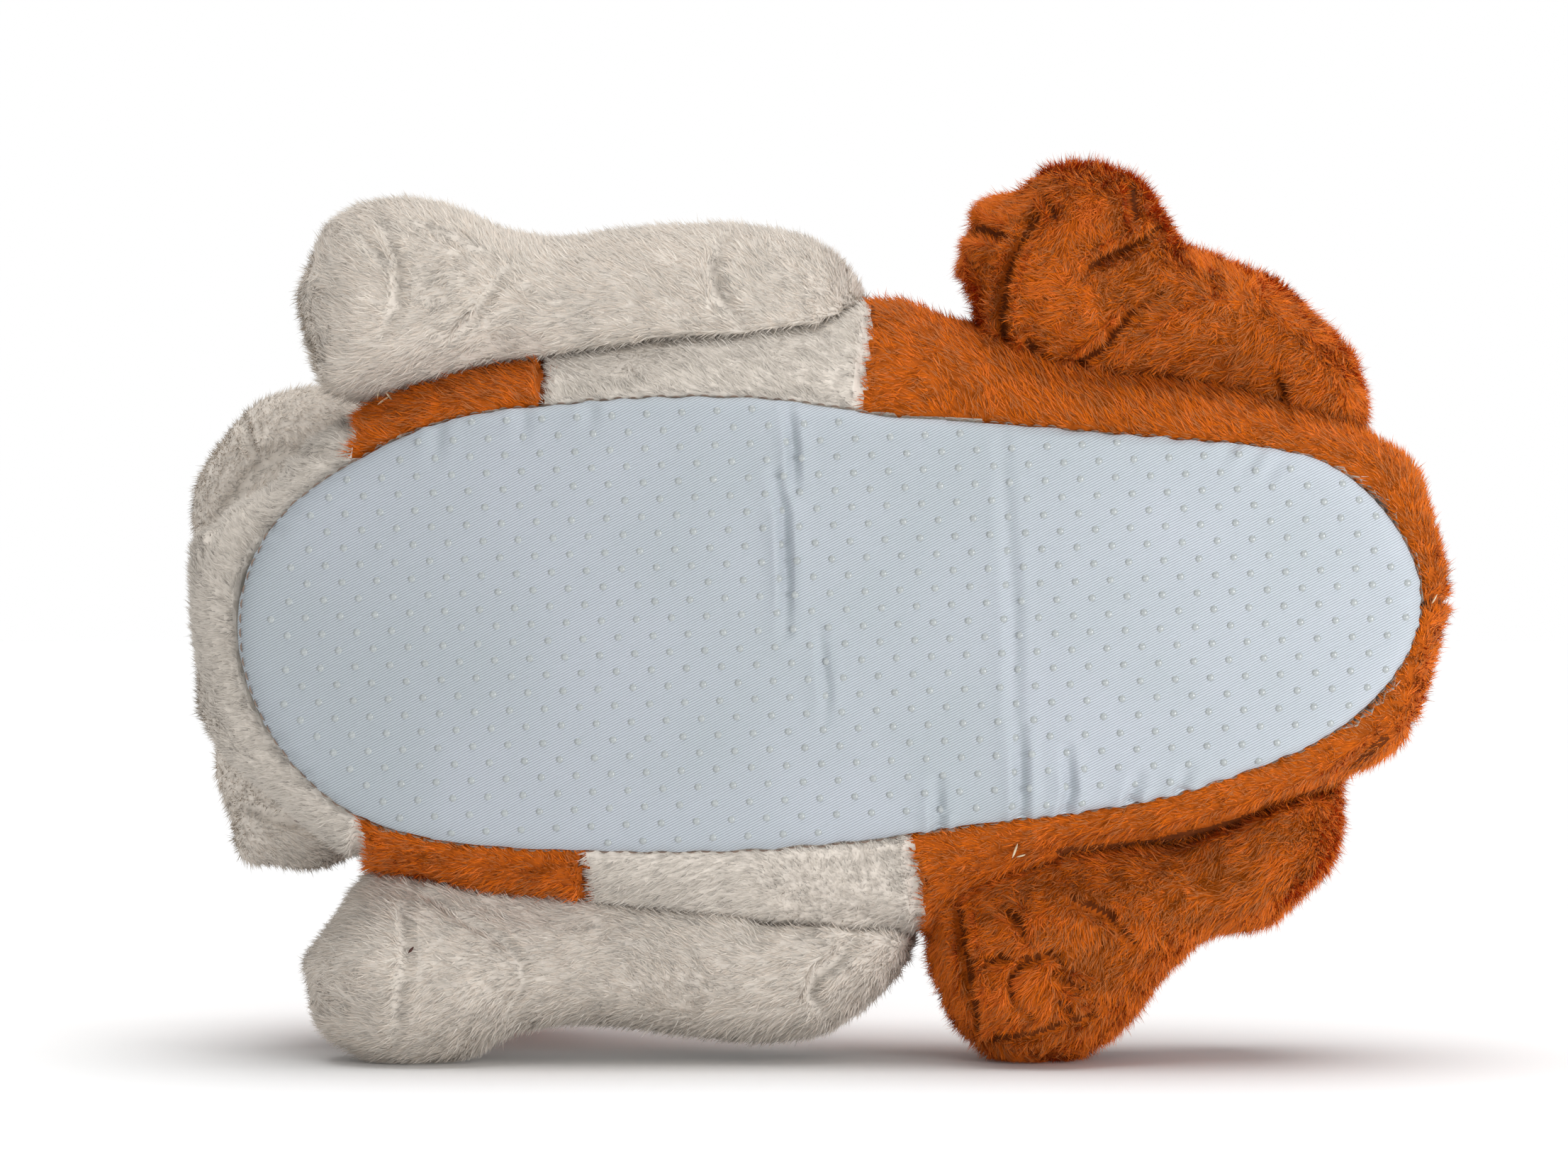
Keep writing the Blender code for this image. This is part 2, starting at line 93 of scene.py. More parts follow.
# Folds and seams, as seen from beneath. A route's points are (along, across) in millimetres from the
# sole's middle: along is positive towards the heel, across towards the wearer's left.
Fold = namedtuple("Fold", "width depth lip route")
Hollow = namedtuple("Hollow", "along across reach depth")
Nudge = namedtuple("Nudge", "along across reach back up")

SOLE_FOLDS = (
    Fold(1.2, 1.25, 0.6, ((-9.4, 51.5), (-8.2, 42.0), (-7.9, 32.0))),
    Fold(1.3, 1.5, 0.6, ((-12.7, 36.1), (-10.5, 26.2), (-9.7, 10.3), (-10.0, -1.3))),
    Fold(1.2, 0.8, 0.5, ((-2.1, -0.3), (-0.4, -14.9), (-0.7, -22.0))),
    Fold(1.6, 0.62, 0.5, ((40.2, 47.2), (42.3, 17.7), (43.3, 5.0), (44.0, -45.0))),
    Fold(1.4, 1.1, 0.6, ((25.3, -36.0), (25.9, -51.0))),
    Fold(1.4, 1.2, 0.6, ((45.0, -24.0), (45.3, -49.0))),
    Fold(1.3, 1.35, 0.6, ((55.6, -28.5), (56.6, -38.0), (54.2, -47.5))),
    Fold(1.4, 1.2, 0.6, ((72.3, -35.0), (69.5, -44.5))),
    Fold(1.4, 0.9, 0.6, ((84.0, -33.0), (81.0, -42.0))),
    Fold(1.7, 0.7, 0.5, ((-92.0, 39.5), (-91.0, 48.5))),
    Fold(1.7, 0.6, 0.5, ((-71.6, 44.5), (-71.0, 52.5))),
    Fold(1.7, 0.6, 0.5, ((-56.0, 47.0), (-55.5, 54.0))),
    Fold(1.5, 0.55, 0.5, ((92.0, 39.5), (96.0, 44.8))),
    Fold(1.5, 0.55, 0.5, ((97.0, 36.8), (101.5, 42.0))),
    Fold(1.5, 0.5, 0.5, ((102.0, 34.5), (106.5, 39.8))),
)
FRONT_LEFT_FOLDS = (
    Fold(1.3, 1.9, 0.15, ((-103.2, 95.5), (-101.0, 88.5), (-99.8, 81.6), (-100.2, 74.5), (-103.5, 68.0))),
    Fold(1.0, 1.0, 0.1, ((-110.0, 93.0), (-105.0, 87.0), (-100.5, 82.3))),
    Fold(0.9, 1.3, 0.1, ((-98.4, 94.8), (-92.4, 93.4), (-85.6, 90.7), (-77.5, 85.8))),
    Fold(1.0, 1.3, 0.15, ((-72.1, 86.3), (-75.5, 81.9), (-78.8, 77.2), (-80.9, 73.1), (-87.5, 66.0))),
    Fold(1.6, 2.6, 0.15, ((-23.5, 91.5), (-26.6, 84.0), (-25.0, 76.5), (-19.0, 72.0))),
)
FRONT_LEFT_HOLLOWS = (
    Hollow(-92.0, 80.0, 9.0, 1.8),
    Hollow(-108.0, 76.0, 7.0, -1.3),
    Hollow(-15.0, 81.0, 8.0, 1.6),
    Hollow(-36.0, 79.0, 8.0, -1.2),
)
FRONT_RIGHT_FOLDS = (
    Fold(1.4, 1.5, 0.15, ((-96.1, -59.5), (-98.9, -66.6), (-98.0, -75.5), (-99.2, -84.4), (-100.1, -97.0))),
    Fold(0.9, 1.1, 0.1, ((-96.7, -59.0), (-88.3, -64.9), (-81.0, -69.4), (-74.3, -73.3), (-70.2, -79.0),
                         (-70.0, -84.0), (-73.6, -91.0))),
    Fold(1.5, 2.6, 0.15, ((6.7, -73.0), (2.9, -78.0), (-1.6, -81.0), (-3.0, -86.5), (0.6, -91.5))),
)
FRONT_RIGHT_HOLLOWS = (Hollow(-89.0, -76.0, 8.0, 1.6), Hollow(-106.0, -80.0, 7.0, -1.2))
HIND_LEFT_FOLDS = (
    Fold(1.3, 3.6, 0.5, ((48.4, 96.0), (45.0, 88.8), (42.4, 82.0), (40.8, 72.0), (43.5, 58.0))),
    Fold(1.4, 2.6, 0.4, ((31.0, 92.5), (36.0, 93.0), (43.0, 91.0))),
    Fold(1.3, 3.2, 0.5, ((61.5, 84.5), (66.0, 87.2), (70.3, 88.8), (77.0, 93.2))),
    Fold(1.2, 2.8, 0.4, ((71.0, 103.5), (72.0, 94.5))),
    Fold(1.1, 1.8, 0.4, ((50.5, 101.5), (53.0, 96.0))),
    Fold(1.8, -2.4, 0.0, ((69.0, 63.5), (80.0, 72.5), (88.0, 76.4), (101.0, 76.6))),
    Fold(1.2, 2.4, 0.4, ((105.5, 58.5), (108.5, 50.0))),
    Fold(1.3, 2.2, 0.4, ((56.0, 60.5), (64.0, 65.0), (71.0, 73.0), (78.0, 77.5))),
    Fold(1.2, 1.8, 0.4, ((46.5, 67.0), (52.0, 60.5), (59.0, 57.5))),
)
HIND_LEFT_HOLLOWS = (
    Hollow(73.0, 81.5, 8.0, 3.2),
    Hollow(97.0, 66.0, 10.0, 3.2),
    Hollow(53.0, 79.0, 8.0, -1.8),
    Hollow(60.0, 97.0, 7.0, -1.2),
)
HIND_RIGHT_FOLDS = (
    Fold(1.3, 3.4, 0.5, ((30.5, -62.5), (32.4, -73.6), (33.4, -81.3), (35.3, -93.2))),
    Fold(1.1, 2.2, 0.4, ((56.5, -79.5), (52.7, -75.8), (47.0, -76.8), (43.2, -81.5), (43.5, -87.5),
                         (48.5, -91.2))),
    Fold(1.1, 2.4, 0.4, ((53.5, -81.0), (57.5, -83.8), (62.0, -84.4))),
    Fold(1.1, 2.0, 0.4, ((54.0, -87.5), (58.5, -91.0), (63.0, -90.6))),
    Fold(1.1, 2.2, 0.4, ((34.5, -78.0), (39.0, -77.4), (45.0, -76.4))),
    Fold(1.1, 1.8, 0.4, ((40.5, -64.5), (44.4, -67.8), (45.8, -72.0))),
    Fold(1.2, 2.0, 0.4, ((37.0, -96.6), (48.0, -94.6), (62.0, -90.0))),
    Fold(1.4, 1.8, 0.4, ((57.0, -63.0), (66.0, -67.0), (72.0, -73.5))),
)
HIND_RIGHT_HOLLOWS = (
    Hollow(88.0, -58.5, 11.0, 2.6),
    Hollow(62.0, -79.0, 6.0, 1.4),
    Hollow(49.5, -83.2, 4.6, -1.6),
    Hollow(48.0, -70.5, 4.2, -1.3),
    Hollow(37.0, -71.0, 3.6, -1.2),
    Hollow(38.5, -85.0, 4.0, -1.3),
)
UPPER_FOLDS = (
    Fold(1.1, 1.6, 0.3, ((-112.8, 60.0), (-111.8, 44.0))),
    Fold(1.1, 1.6, 0.3, ((-109.4, -62.0), (-110.0, -46.0))),
    Fold(1.1, 1.6, 0.3, ((-66.0, 66.0), (-66.9, 51.0))),
    Fold(1.1, 1.6, 0.3, ((-56.0, -66.0), (-57.6, -54.0))),
    Fold(1.1, 1.6, 0.3, ((10.2, 75.0), (7.7, 52.0))),
    Fold(1.1, 1.6, 0.3, ((22.0, -72.0), (19.0, -50.0))),
    Fold(1.3, 3.0, 0.5, ((-147.5, 15.0), (-143.0, 26.0), (-138.0, 33.0), (-133.6, 38.0), (-127.4, 41.0),
                         (-120.4, 41.6), (-113.5, 41.0))),
    Fold(1.6, 2.4, 0.4, ((54.0, -52.5), (75.0, -50.6), (90.0, -47.2), (107.0, -41.8), (119.0, -36.5),
                         (130.0, -26.0))),
    Fold(1.0, 1.8, 0.3, ((137.0, 5.5), (150.0, 5.8))),
)
MUZZLE_FOLDS = (
    # The first fold runs along the rim's edge; the darker pile in it is a painted shadow of the rim on the
    # jowl.
    Fold(2.0, 1.8, 0.0, ((-146.5, 17.0), (-142.3, 26.2), (-137.9, 32.6), (-133.5, 37.2), (-129.1, 39.8),
                         (-119.0, 41.5))),
    Fold(1.0, 2.2, 0.15, ((-137.8, 50.0), (-137.0, 44.5), (-133.8, 38.5))),
    Fold(1.0, 1.5, 0.1, ((-140.0, -40.5), (-131.0, -44.5), (-125.3, -45.6), (-119.0, -45.2))),
)

# Broad moves that bring the stuffed forms to the outline that the photograph shows
MUZZLE_NUDGES = (
    Nudge(-146.0, -27.0, 12.0, 4.0, 0.0),
    Nudge(-142.0, -42.0, 7.0, 3.5, 0.0),
    Nudge(-135.0, -52.0, 8.0, -2.5, -4.5),
    Nudge(-121.0, -52.0, 8.0, 0.0, -3.0),
    Nudge(-143.0, 47.0, 8.0, 0.8, -1.0),
    Nudge(-147.0, 27.0, 8.0, -1.8, 0.0),
    Nudge(-145.0, 21.0, 5.0, -2.6, 0.0),
)
UPPER_NUDGES = (
    Nudge(-144.0, 24.0, 5.0, -2.4, 0.0),
    Nudge(-147.0, 19.0, 10.0, -6.0, 0.0),
    Nudge(-147.0, 2.0, 12.0, -2.4, 0.0),
    Nudge(-145.5, -22.0, 10.0, -5.2, 0.0),
    Nudge(-140.0, -34.0, 9.0, -3.6, 0.0),
    Nudge(-133.5, 40.0, 8.0, 2.2, -2.6),
    Nudge(135.0, 39.0, 14.0, 4.6, 3.0),
    Nudge(134.0, -26.0, 15.0, 3.4, -2.6),
    Nudge(143.0, 12.0, 14.0, 1.6, 0.0),
    Nudge(14.0, 76.0, 12.0, 0.0, 1.8),
    Nudge(25.0, -66.0, 7.0, 0.0, -3.4),
)
FRONT_LEFT_NUDGES = (
    Nudge(-119.0, 84.0, 15.0, -2.0, 0.6),
    Nudge(-119.0, 64.0, 10.0, -1.8, -1.5),
    Nudge(-114.0, 57.0, 7.0, -2.0, -2.5),
    Nudge(-50.0, 91.0, 25.0, 0.0, 1.1),
)
FRONT_RIGHT_NUDGES = (
    Nudge(-122.0, -80.0, 17.0, -3.6, 0.0),
    Nudge(-117.0, -65.0, 8.0, 1.6, 0.0),
    Nudge(-117.0, -93.0, 9.0, -3.6, -0.8),
    Nudge(12.0, -76.0, 10.0, 6.5, 2.2),
)
HIND_LEFT_NUDGES = (
    Nudge(43.0, 106.0, 8.0, 2.0, -4.2),
    Nudge(84.0, 94.0, 7.0, 0.0, -3.4),
    Nudge(114.0, 76.0, 10.0, -1.4, -2.2),
)
HIND_RIGHT_NUDGES = (
    Nudge(120.0, -55.0, 12.0, 3.0, -2.2),
    Nudge(86.0, -80.0, 8.0, 0.0, 1.5),
    Nudge(27.0, -68.0, 7.0, -3.0, 1.2),
    Nudge(92.0, -72.0, 8.0, 0.0, 1.2),
)

# Loose thread ends and small marks that the photograph shows on the plush
Thread = namedtuple("Thread", "along across turn length thick")
PALE_THREADS = (
    Thread(-104.0, 53.0, 35.0, 3.4, 0.30),
    Thread(-102.6, 53.9, -50.0, 2.6, 0.26),
    Thread(-105.2, 54.3, 80.0, 2.4, 0.26),
    Thread(43.6, -52.2, 70.0, 3.6, 0.30),
    Thread(45.0, -53.4, 15.0, 2.2, 0.24),
    Thread(141.5, 6.4, 60.0, 3.2, 0.22),
)
DARK_THREADS = (
    Thread(-97.6, -75.4, 50.0, 1.9, 0.35),
    Thread(-123.3, -45.3, -6.0, 3.4, 0.50),
)

# Where the upper's colour changes, from the toe: along the foot at the sole's edge, and how far the
# change slants towards the heel for each millimetre outwards. Left and right are the wearer's.
Change = namedtuple("Change", "along slant")
LEFT_CHANGES = (Change(-111.8, -0.05), Change(-66.9, 0.05), Change(7.7, 0.12))
RIGHT_CHANGES = (Change(-110.0, 0.05), Change(-57.6, 0.12), Change(19.0, 0.20))
PANEL_TOP = 46.0

# The tones of a pile: how much of its colour each has, and how much white is in its tips; the white in the
# lightest brown tones stands partly for pale fibre tips and partly for a painted highlight.
Tone = namedtuple("Tone", "name strength paleness")
BROWN_TONES = (
    Tone("plush_brown_dark", 0.50, 0.0),
    Tone("plush_brown", 0.86, 0.0),
    Tone("plush_brown_light", 1.08, 0.002),
    Tone("plush_brown_tip", 1.24, 0.020),
)
CREAM_TONES = (
    Tone("plush_cream_deep", 0.60, 0.0),
    Tone("plush_cream_shade", 0.88, 0.0),
    Tone("plush_cream", 1.0, 0.0),
    Tone("plush_cream_light", 1.10, 0.0),
)
PANEL_TONES = (
    Tone("plush_panel_deep", 0.50, 0.0),
    Tone("plush_panel_shade", 0.76, 0.0),
    Tone("plush_panel", 0.84, 0.0),
    Tone("plush_panel_light", 0.94, 0.0),
)
LINING_TONES = (Tone("plush_lining", 1.0, 0.0), Tone("plush_lining_light", 1.14, 0.0))


class SlipperPlush(bpy.types.PropertyGroup):
    """Sizes and colours of the plush."""

    pile_length: FloatProperty(
        name="Pile length", description="Length of one plush fibre", default=0.0052, unit="LENGTH")
    pile_width: FloatProperty(
        name="Fibre width", description="Width of a bunch of fibres at its root",
        default=0.00033, unit="LENGTH")
    inset: FloatProperty(
        name="Backing inset", description="How far the backing lies under the finished outline",
        default=0.0012, unit="LENGTH")
    cell: FloatProperty(
        name="Cell", description="Size of a face on the backing", default=0.0028, unit="LENGTH")
    brown: FloatVectorProperty(
        name="Brown plush", description="Colour of the brown pile", size=3, subtype="COLOR",
        default=(0.54, 0.110, 0.003))
    cream: FloatVectorProperty(
        name="Cream plush", description="Colour of the cream pile", size=3, subtype="COLOR",
        default=(0.71, 0.65, 0.58))
    lining: FloatVectorProperty(
        name="Lining", description="Colour of the plush inside the shoe", size=3, subtype="COLOR",
        default=(0.60, 0.54, 0.47))
    seed: IntProperty(name="Seed", description="Start of the random draws", default=7)


class SlipperSole(bpy.types.PropertyGroup):
    """Sizes and colours of the anti-slip sole cloth."""

    cloth: FloatVectorProperty(
        name="Sole cloth", description="Colour of the grey anti-slip cloth", size=3, subtype="COLOR",
        default=(0.398, 0.43, 0.472))
    twill_pitch: FloatProperty(
        name="Twill pitch", description="Distance between the cloth's diagonal ribs",
        default=0.00056, unit="LENGTH")
    twill_angle: FloatProperty(
        name="Twill angle", description="Slope of the ribs against the foot's length",
        default=math.radians(27), unit="ROTATION")
    dot_colour: FloatVectorProperty(
        name="Dots", description="Colour of the raised anti-slip dots", size=3, subtype="COLOR",
        default=(0.325, 0.352, 0.358))
    dot_width: FloatProperty(
        name="Dot width", description="Width of a raised dot", default=0.0019, unit="LENGTH")
    dot_height: FloatProperty(
        name="Dot height", description="How far a dot stands out", default=0.00038, unit="LENGTH")
    dot_pitch: FloatProperty(
        name="Dot pitch", description="Distance between dots in a row", default=0.0082, unit="LENGTH")
    row_pitch: FloatProperty(
        name="Row pitch", description="Distance between rows of dots", default=0.0040, unit="LENGTH")
    row_tilt: FloatProperty(
        name="Row tilt", description="Slope of the rows against the foot's length",
        default=math.radians(2.7), unit="ROTATION")
    dot_margin: FloatProperty(
        name="Dot margin", description="Bare border inside the sole's edge", default=0.0016,
        unit="LENGTH")
    cell: FloatProperty(
        name="Cell", description="Size of a face on the sole cloth", default=0.0021, unit="LENGTH")
    stitch_pitch: FloatProperty(
        name="Stitch pitch", description="Distance between the seam's stitches", default=0.0034,
        unit="LENGTH")


class SlipperStudio(bpy.types.PropertyGroup):
    """The camera, the floor and the lights."""

    distance: FloatProperty(
        name="Camera distance", description="From the camera to the tread", default=EYE_DISTANCE,
        unit="LENGTH")
    across: FloatProperty(
        name="Camera side shift", description="Camera's place along the foot", default=EYE[0],
        unit="LENGTH")
    height: FloatProperty(
        name="Camera height", description="Camera's height over the floor", default=EYE[1],
        unit="LENGTH")
    width: FloatProperty(
        name="Width seen", description="Width that the frame shows at the tread", default=0.3665,
        unit="LENGTH")
    sky: FloatProperty(name="Sky", description="Strength of the even light all round", default=0.36)
    key: FloatProperty(
        name="Key", description="Power of the soft main lamp", default=5.2, unit="POWER")
    fill: FloatProperty(
        name="Front lamp", description="Power of the broad lamp beside the camera", default=3.0,
        unit="POWER")
    overhead: FloatProperty(
        name="Overhead light", description="Strength of the soft light on the floor", default=2.4)


def seen(along, across):
    """A route point in metres, in the frame's X and Z."""
    return MID_LENGTH + along * MM, MID_WIDTH + across * MM


def new_object(name, mesh):
    piece = bpy.data.objects.new(name, mesh)
    bpy.context.scene.collection.objects.link(piece)
    return piece


def coordinates(mesh):
    flat = np.empty(len(mesh.vertices) * 3)
    mesh.vertices.foreach_get("co", flat)
    return flat.reshape(-1, 3)


def normals(mesh):
    flat = np.empty(len(mesh.vertices) * 3)
    mesh.vertex_normals.foreach_get("vector", flat)
    return flat.reshape(-1, 3)


def place(mesh, points):
    mesh.vertices.foreach_set("co", points.astype(np.float32).ravel())
    mesh.update()


def unit(vectors):
    return vectors / np.maximum(np.linalg.norm(vectors, axis=1, keepdims=True), 1e-12)


def smooth_step(values, low, high):
    share = np.clip((values - low) / (high - low), 0, 1)
    return share * share * (3 - 2 * share)


def skin_of(node, name, cell, passes):
    """A smooth, evenly meshed copy of a solid, as a new object."""
    mesh = bpy.data.meshes.new(name)
    form = bmesh.new()
    form.from_mesh(frame["nodes"][node].data)
    bmesh.ops.remove_doubles(form, verts=form.verts, dist=1e-5)
    form.to_mesh(mesh)
    form.free()
    piece = new_object(name, mesh)
    even = piece.modifiers.new("even", "REMESH")
    even.mode = "VOXEL"
    even.voxel_size = cell
    soft = piece.modifiers.new("soft", "SMOOTH")
    soft.factor = 0.5
    soft.iterations = passes
    graph = bpy.context.evaluated_depsgraph_get()
    made = bpy.data.meshes.new_from_object(piece.evaluated_get(graph))
    piece.modifiers.clear()
    piece.data = made
    bpy.data.meshes.remove(mesh)
    made.name = name
    made.shade_smooth()
    return piece


def as_seen(points):
    """Where the eye sees each point, carried back to the plane of the tread."""
    share = EYE_DISTANCE / (EYE_DISTANCE + points[:, 1] - TREAD)
    return np.array(EYE) + (points[:, [0, 2]] - EYE) * share[:, None]


def route_distance(points, route):
    """The way to each point from the nearest place on a route, as seen, and how far along that is."""
    flat = as_seen(points)
    nearest = np.full(len(flat), np.inf)
    away = np.zeros((len(flat), 2))
    along = np.zeros(len(flat))
    stops = [np.array(seen(*stop)) for stop in route]
    runs = [end - start for start, end in zip(stops, stops[1:])]
    whole = sum(np.linalg.norm(run) for run in runs)
    gone = 0.0
    for start, run in zip(stops, runs):
        length = np.linalg.norm(run)
        share = np.clip(((flat - start) @ run) / length ** 2, 0, 1)
        offset = flat - start - share[:, None] * run
        gap = np.linalg.norm(offset, axis=1)
        closer = gap < nearest
        nearest[closer] = gap[closer]
        away[closer] = offset[closer]
        along[closer] = (gone + share[closer] * length) / whole
        gone += length
    return nearest, along, away


def fold_fade(along):
    """A fold's strength along its route, which dies out at both ends."""
    return np.sin(np.pi * np.clip(along, 0.06, 0.94)) ** 0.6


def seen_facing(outward):
    """1 where a surface faces the photographed view, and 0 where it faces away."""
    return smooth_step(-outward[:, 1], -0.15, 0.45)


def refine(piece, folds, passes=2):
    """Divides the faces near folds, so that the folds can be sharp."""
    form = bmesh.new()
    form.from_mesh(piece.data)
    for _ in range(passes):
        form.verts.index_update()
        points = np.array([vert.co for vert in form.verts])
        outward = np.array([vert.normal for vert in form.verts])
        near = np.zeros(len(points), bool)
        for fold in folds:
            near |= route_distance(points, fold.route)[0] < 3.2 * fold.width * MM
        near &= outward[:, 1] < 0.3
        edges = [edge for edge in form.edges if near[edge.verts[0].index] and near[edge.verts[1].index]]
        bmesh.ops.subdivide_edges(form, edges=edges, cuts=1, use_grid_fill=True)
        form.normal_update()
    form.to_mesh(piece.data)
    form.free()
    piece.data.shade_smooth()


def nudge(piece, nudges):
    """Draws a form over by broad thumb moves, to the outline that the photograph shows."""
    points = coordinates(piece.data)
    for entry in nudges:
        gap = np.linalg.norm(as_seen(points) - np.array(seen(entry.along, entry.across)), axis=1)
        share = np.exp(-(gap / (entry.reach * MM)) ** 2)
        points[:, 0] += share * entry.back * MM
        points[:, 2] += share * entry.up * MM
    place(piece.data, points)


def press_folds(piece, folds, hollows=(), below=None):
    """Presses each fold and hollow into the side that faces the photographed view."""
    refine(piece, folds)
    mesh = piece.data
    points, outward = coordinates(mesh), normals(mesh)
    facing = seen_facing(outward)
    if below is not None:
        facing *= points[:, 1] < below
    move = np.zeros(len(points))
    for fold in folds:
        width = fold.width * MM
        gap, along, away = route_distance(points, fold.route)
        trough = np.exp(-(gap / width) ** 2)
        lip = fold.lip * np.exp(-((gap - 2.0 * width) / width) ** 2)
        move -= fold.depth * MM * fold_fade(along) * (trough - lip)
    for hollow in hollows:
        centre = np.array(seen(hollow.along, hollow.across))
        gap = np.linalg.norm(as_seen(points) - centre, axis=1)
        move -= hollow.depth * MM * np.exp(-(gap / (hollow.reach * MM)) ** 2)
    place(mesh, points + outward * (move * facing)[:, None])


def other_solids(node):
    """A search tree over every solid but one."""
    points, faces = [], []
    for name, solid in frame["nodes"].items():
        if name != node:
            faces += (triangles_of(solid.data) + len(points)).tolist()
            points += coordinates(solid.data).tolist()
    return BVHTree.FromPolygons(points, faces)


def draw_in(piece, node, inset):
    """Draws the backing in under the finished outline, but not on the floor or against a neighbour."""
    points, outward = coordinates(piece.data), normals(piece.data)
    tree = other_solids(node)
    gap = np.array([tree.find_nearest(point)[3] for point in points.tolist()])
    share = smooth_step(points[:, 2], 0.0, 0.004) * smooth_step(gap, 0.0008, 0.004)
    place(piece.data, points - outward * (inset * share)[:, None])


def drift(points, cell, seed):
    """A smooth random vector at each point, from a seeded lattice of the given spacing."""
    low = points.min(0) - cell
    counts = np.ceil((points.max(0) - low) / cell).astype(int) + 2
    lattice = np.random.default_rng(seed).uniform(-1, 1, (*counts, 3))
    at = (points - low) / cell
    base = np.floor(at).astype(int)
    share = at - base
    share = share * share * (3 - 2 * share)
    total = np.zeros_like(points)
    for corner in np.ndindex(2, 2, 2):
        weight = np.prod(np.where(corner, share, 1 - share), axis=1)
        total += weight[:, None] * lattice[tuple((base + corner).T)]
    return total


def rumple(piece, amount, cell, seed):
    """Soft unevenness of stuffing under a cover."""
    points, outward = coordinates(piece.data), normals(piece.data)
    wave = drift(points, cell, seed)[:, 0] + 0.5 * drift(points, cell / 2, seed + 1)[:, 0]
    off_floor = smooth_step(points[:, 2], 0.001, 0.006)
    place(piece.data, points + outward * (amount * wave * off_floor)[:, None])


# Materials


def linear(red, green, blue):
    """A display colour, 0 to 255, as linear light."""
    shares = [value / 255 for value in (red, green, blue)]
    return tuple(s / 12.92 if s <= 0.04045 else ((s + 0.055) / 1.055) ** 2.4 for s in shares)


def principled(name, colour, roughness, sheen=0.0, shine=0.25):
    material = bpy.data.materials.new(name)
    material.use_nodes = True
    shader = material.node_tree.nodes["Principled BSDF"]
    shader.inputs["Base Color"].default_value = (*colour, 1)
    shader.inputs["Roughness"].default_value = roughness
    shader.inputs["Sheen Weight"].default_value = sheen
    shader.inputs["Sheen Roughness"].default_value = 0.45
    shader.inputs["Sheen Tint"].default_value = (*scaled(colour, 1.3), 1)
    shader.inputs["Specular IOR Level"].default_value = shine
    return material, material.node_tree, shader


def scaled(colour, factor):
    return tuple(min(1.0, part * factor) for part in colour)


def mottled(tree, shader, colour, spread, scale):
    """Lets a colour wander between a darker and a lighter tone over the surface."""
    place_node = tree.nodes.new("ShaderNodeTexCoord")
    noise = tree.nodes.new("ShaderNodeTexNoise")
    noise.inputs["Scale"].default_value = scale
    noise.inputs["Detail"].default_value = 4
    ramp = tree.nodes.new("ShaderNodeValToRGB")
    ramp.color_ramp.elements[0].position = 0.32
    ramp.color_ramp.elements[1].position = 0.68
    ramp.color_ramp.elements[0].color = (*scaled(colour, 1 - spread), 1)
    ramp.color_ramp.elements[1].color = (*scaled(colour, 1 + spread), 1)
    tree.links.new(place_node.outputs["Object"], noise.inputs["Vector"])
    tree.links.new(noise.outputs["Fac"], ramp.inputs["Fac"])
    tree.links.new(ramp.outputs["Color"], shader.inputs["Base Color"])
    return place_node, noise


def bumped(tree, shader, height, strength, distance):
    bump = tree.nodes.new("ShaderNodeBump")
    bump.inputs["Strength"].default_value = strength
    bump.inputs["Distance"].default_value = distance
    tree.links.new(height, bump.inputs["Height"])
    tree.links.new(bump.outputs["Normal"], shader.inputs["Normal"])


def backing_material(name, colour, spread):
    """The knitted backing between the fibres, darker than their tips: painted shade deep in the pile."""
    material, tree, shader = principled(name, colour, 0.95, 0.2)
    coords, noise = mottled(tree, shader, colour, spread, 420)
    bumped(tree, shader, noise.outputs["Fac"], 0.6, 0.0006)
    return material


def pile_materials(tones, colour, sheen, shine):
    """One plain material a tone, for the fibres of a pile."""
    for tone in tones:
        shade = tuple(part * tone.strength + tone.paleness for part in colour)
        principled(tone.name, shade, 0.85, sheen, shine)


def make_plush_materials():
    plush = bpy.context.scene.slipper_plush
    # Backings darker than their pile: painted shade deep between the fibres.
    backing_material("backing_brown", scaled(plush.brown, 0.70), 0.22)
    backing_material("backing_cream", scaled(plush.cream, 0.92), 0.08)
    backing_material("backing_lining", scaled(plush.lining, 0.85), 0.12)
    # A much darker backing for the bottom of brown folds: painted shade in the creases.
    backing_material("painted_crease_shade_brown", scaled(plush.brown, 0.22), 0.1)
    pile_materials(BROWN_TONES, plush.brown, 0.04, 0.08)
    pile_materials(CREAM_TONES, plush.cream, 0.15, 0.2)
    pile_materials(PANEL_TONES, plush.cream, 0.15, 0.2)
    pile_materials(LINING_TONES, plush.lining, 0.2, 0.2)


def material(name):
    return bpy.data.materials[name]


# Pile


def fold_nearness(roots, outward, folds):
    """How near each root is to the bottom of a fold, from 0 to 1, and the way out of it."""
    near = np.zeros(len(roots))
    away = np.zeros((len(roots), 3))
    for fold in folds:
        if fold.depth > 0:
            width = fold.width * MM
            gap, along, offset = route_distance(roots, fold.route)
            fade = fold_fade(along)
            near = np.maximum(near, fade * np.exp(-(gap / (0.7 * width)) ** 2))
            away[:, [0, 2]] += unit(offset) * (fade * np.exp(-(gap / (1.3 * width)) ** 2))[:, None]
    facing = seen_facing(outward)
    return near * facing, away * facing[:, None]


def hollow_shade(roots, hollows):
    """How deep in a hollow each root lies, or below 0 on a swelling, for the pile's painted shade and light.
    """
    shade = np.zeros(len(roots))
    for hollow in hollows:
        gap = np.linalg.norm(as_seen(roots) - np.array(seen(hollow.along, hollow.across)), axis=1)
        shade += np.sign(hollow.depth) * np.exp(-(gap / (0.9 * hollow.reach * MM)) ** 2)
    return shade


def triangles_of(mesh):
    mesh.calc_loop_triangles()
    flat = np.empty(len(mesh.loop_triangles) * 3, int)
    mesh.loop_triangles.foreach_get("vertices", flat)
    return flat.reshape(-1, 3)


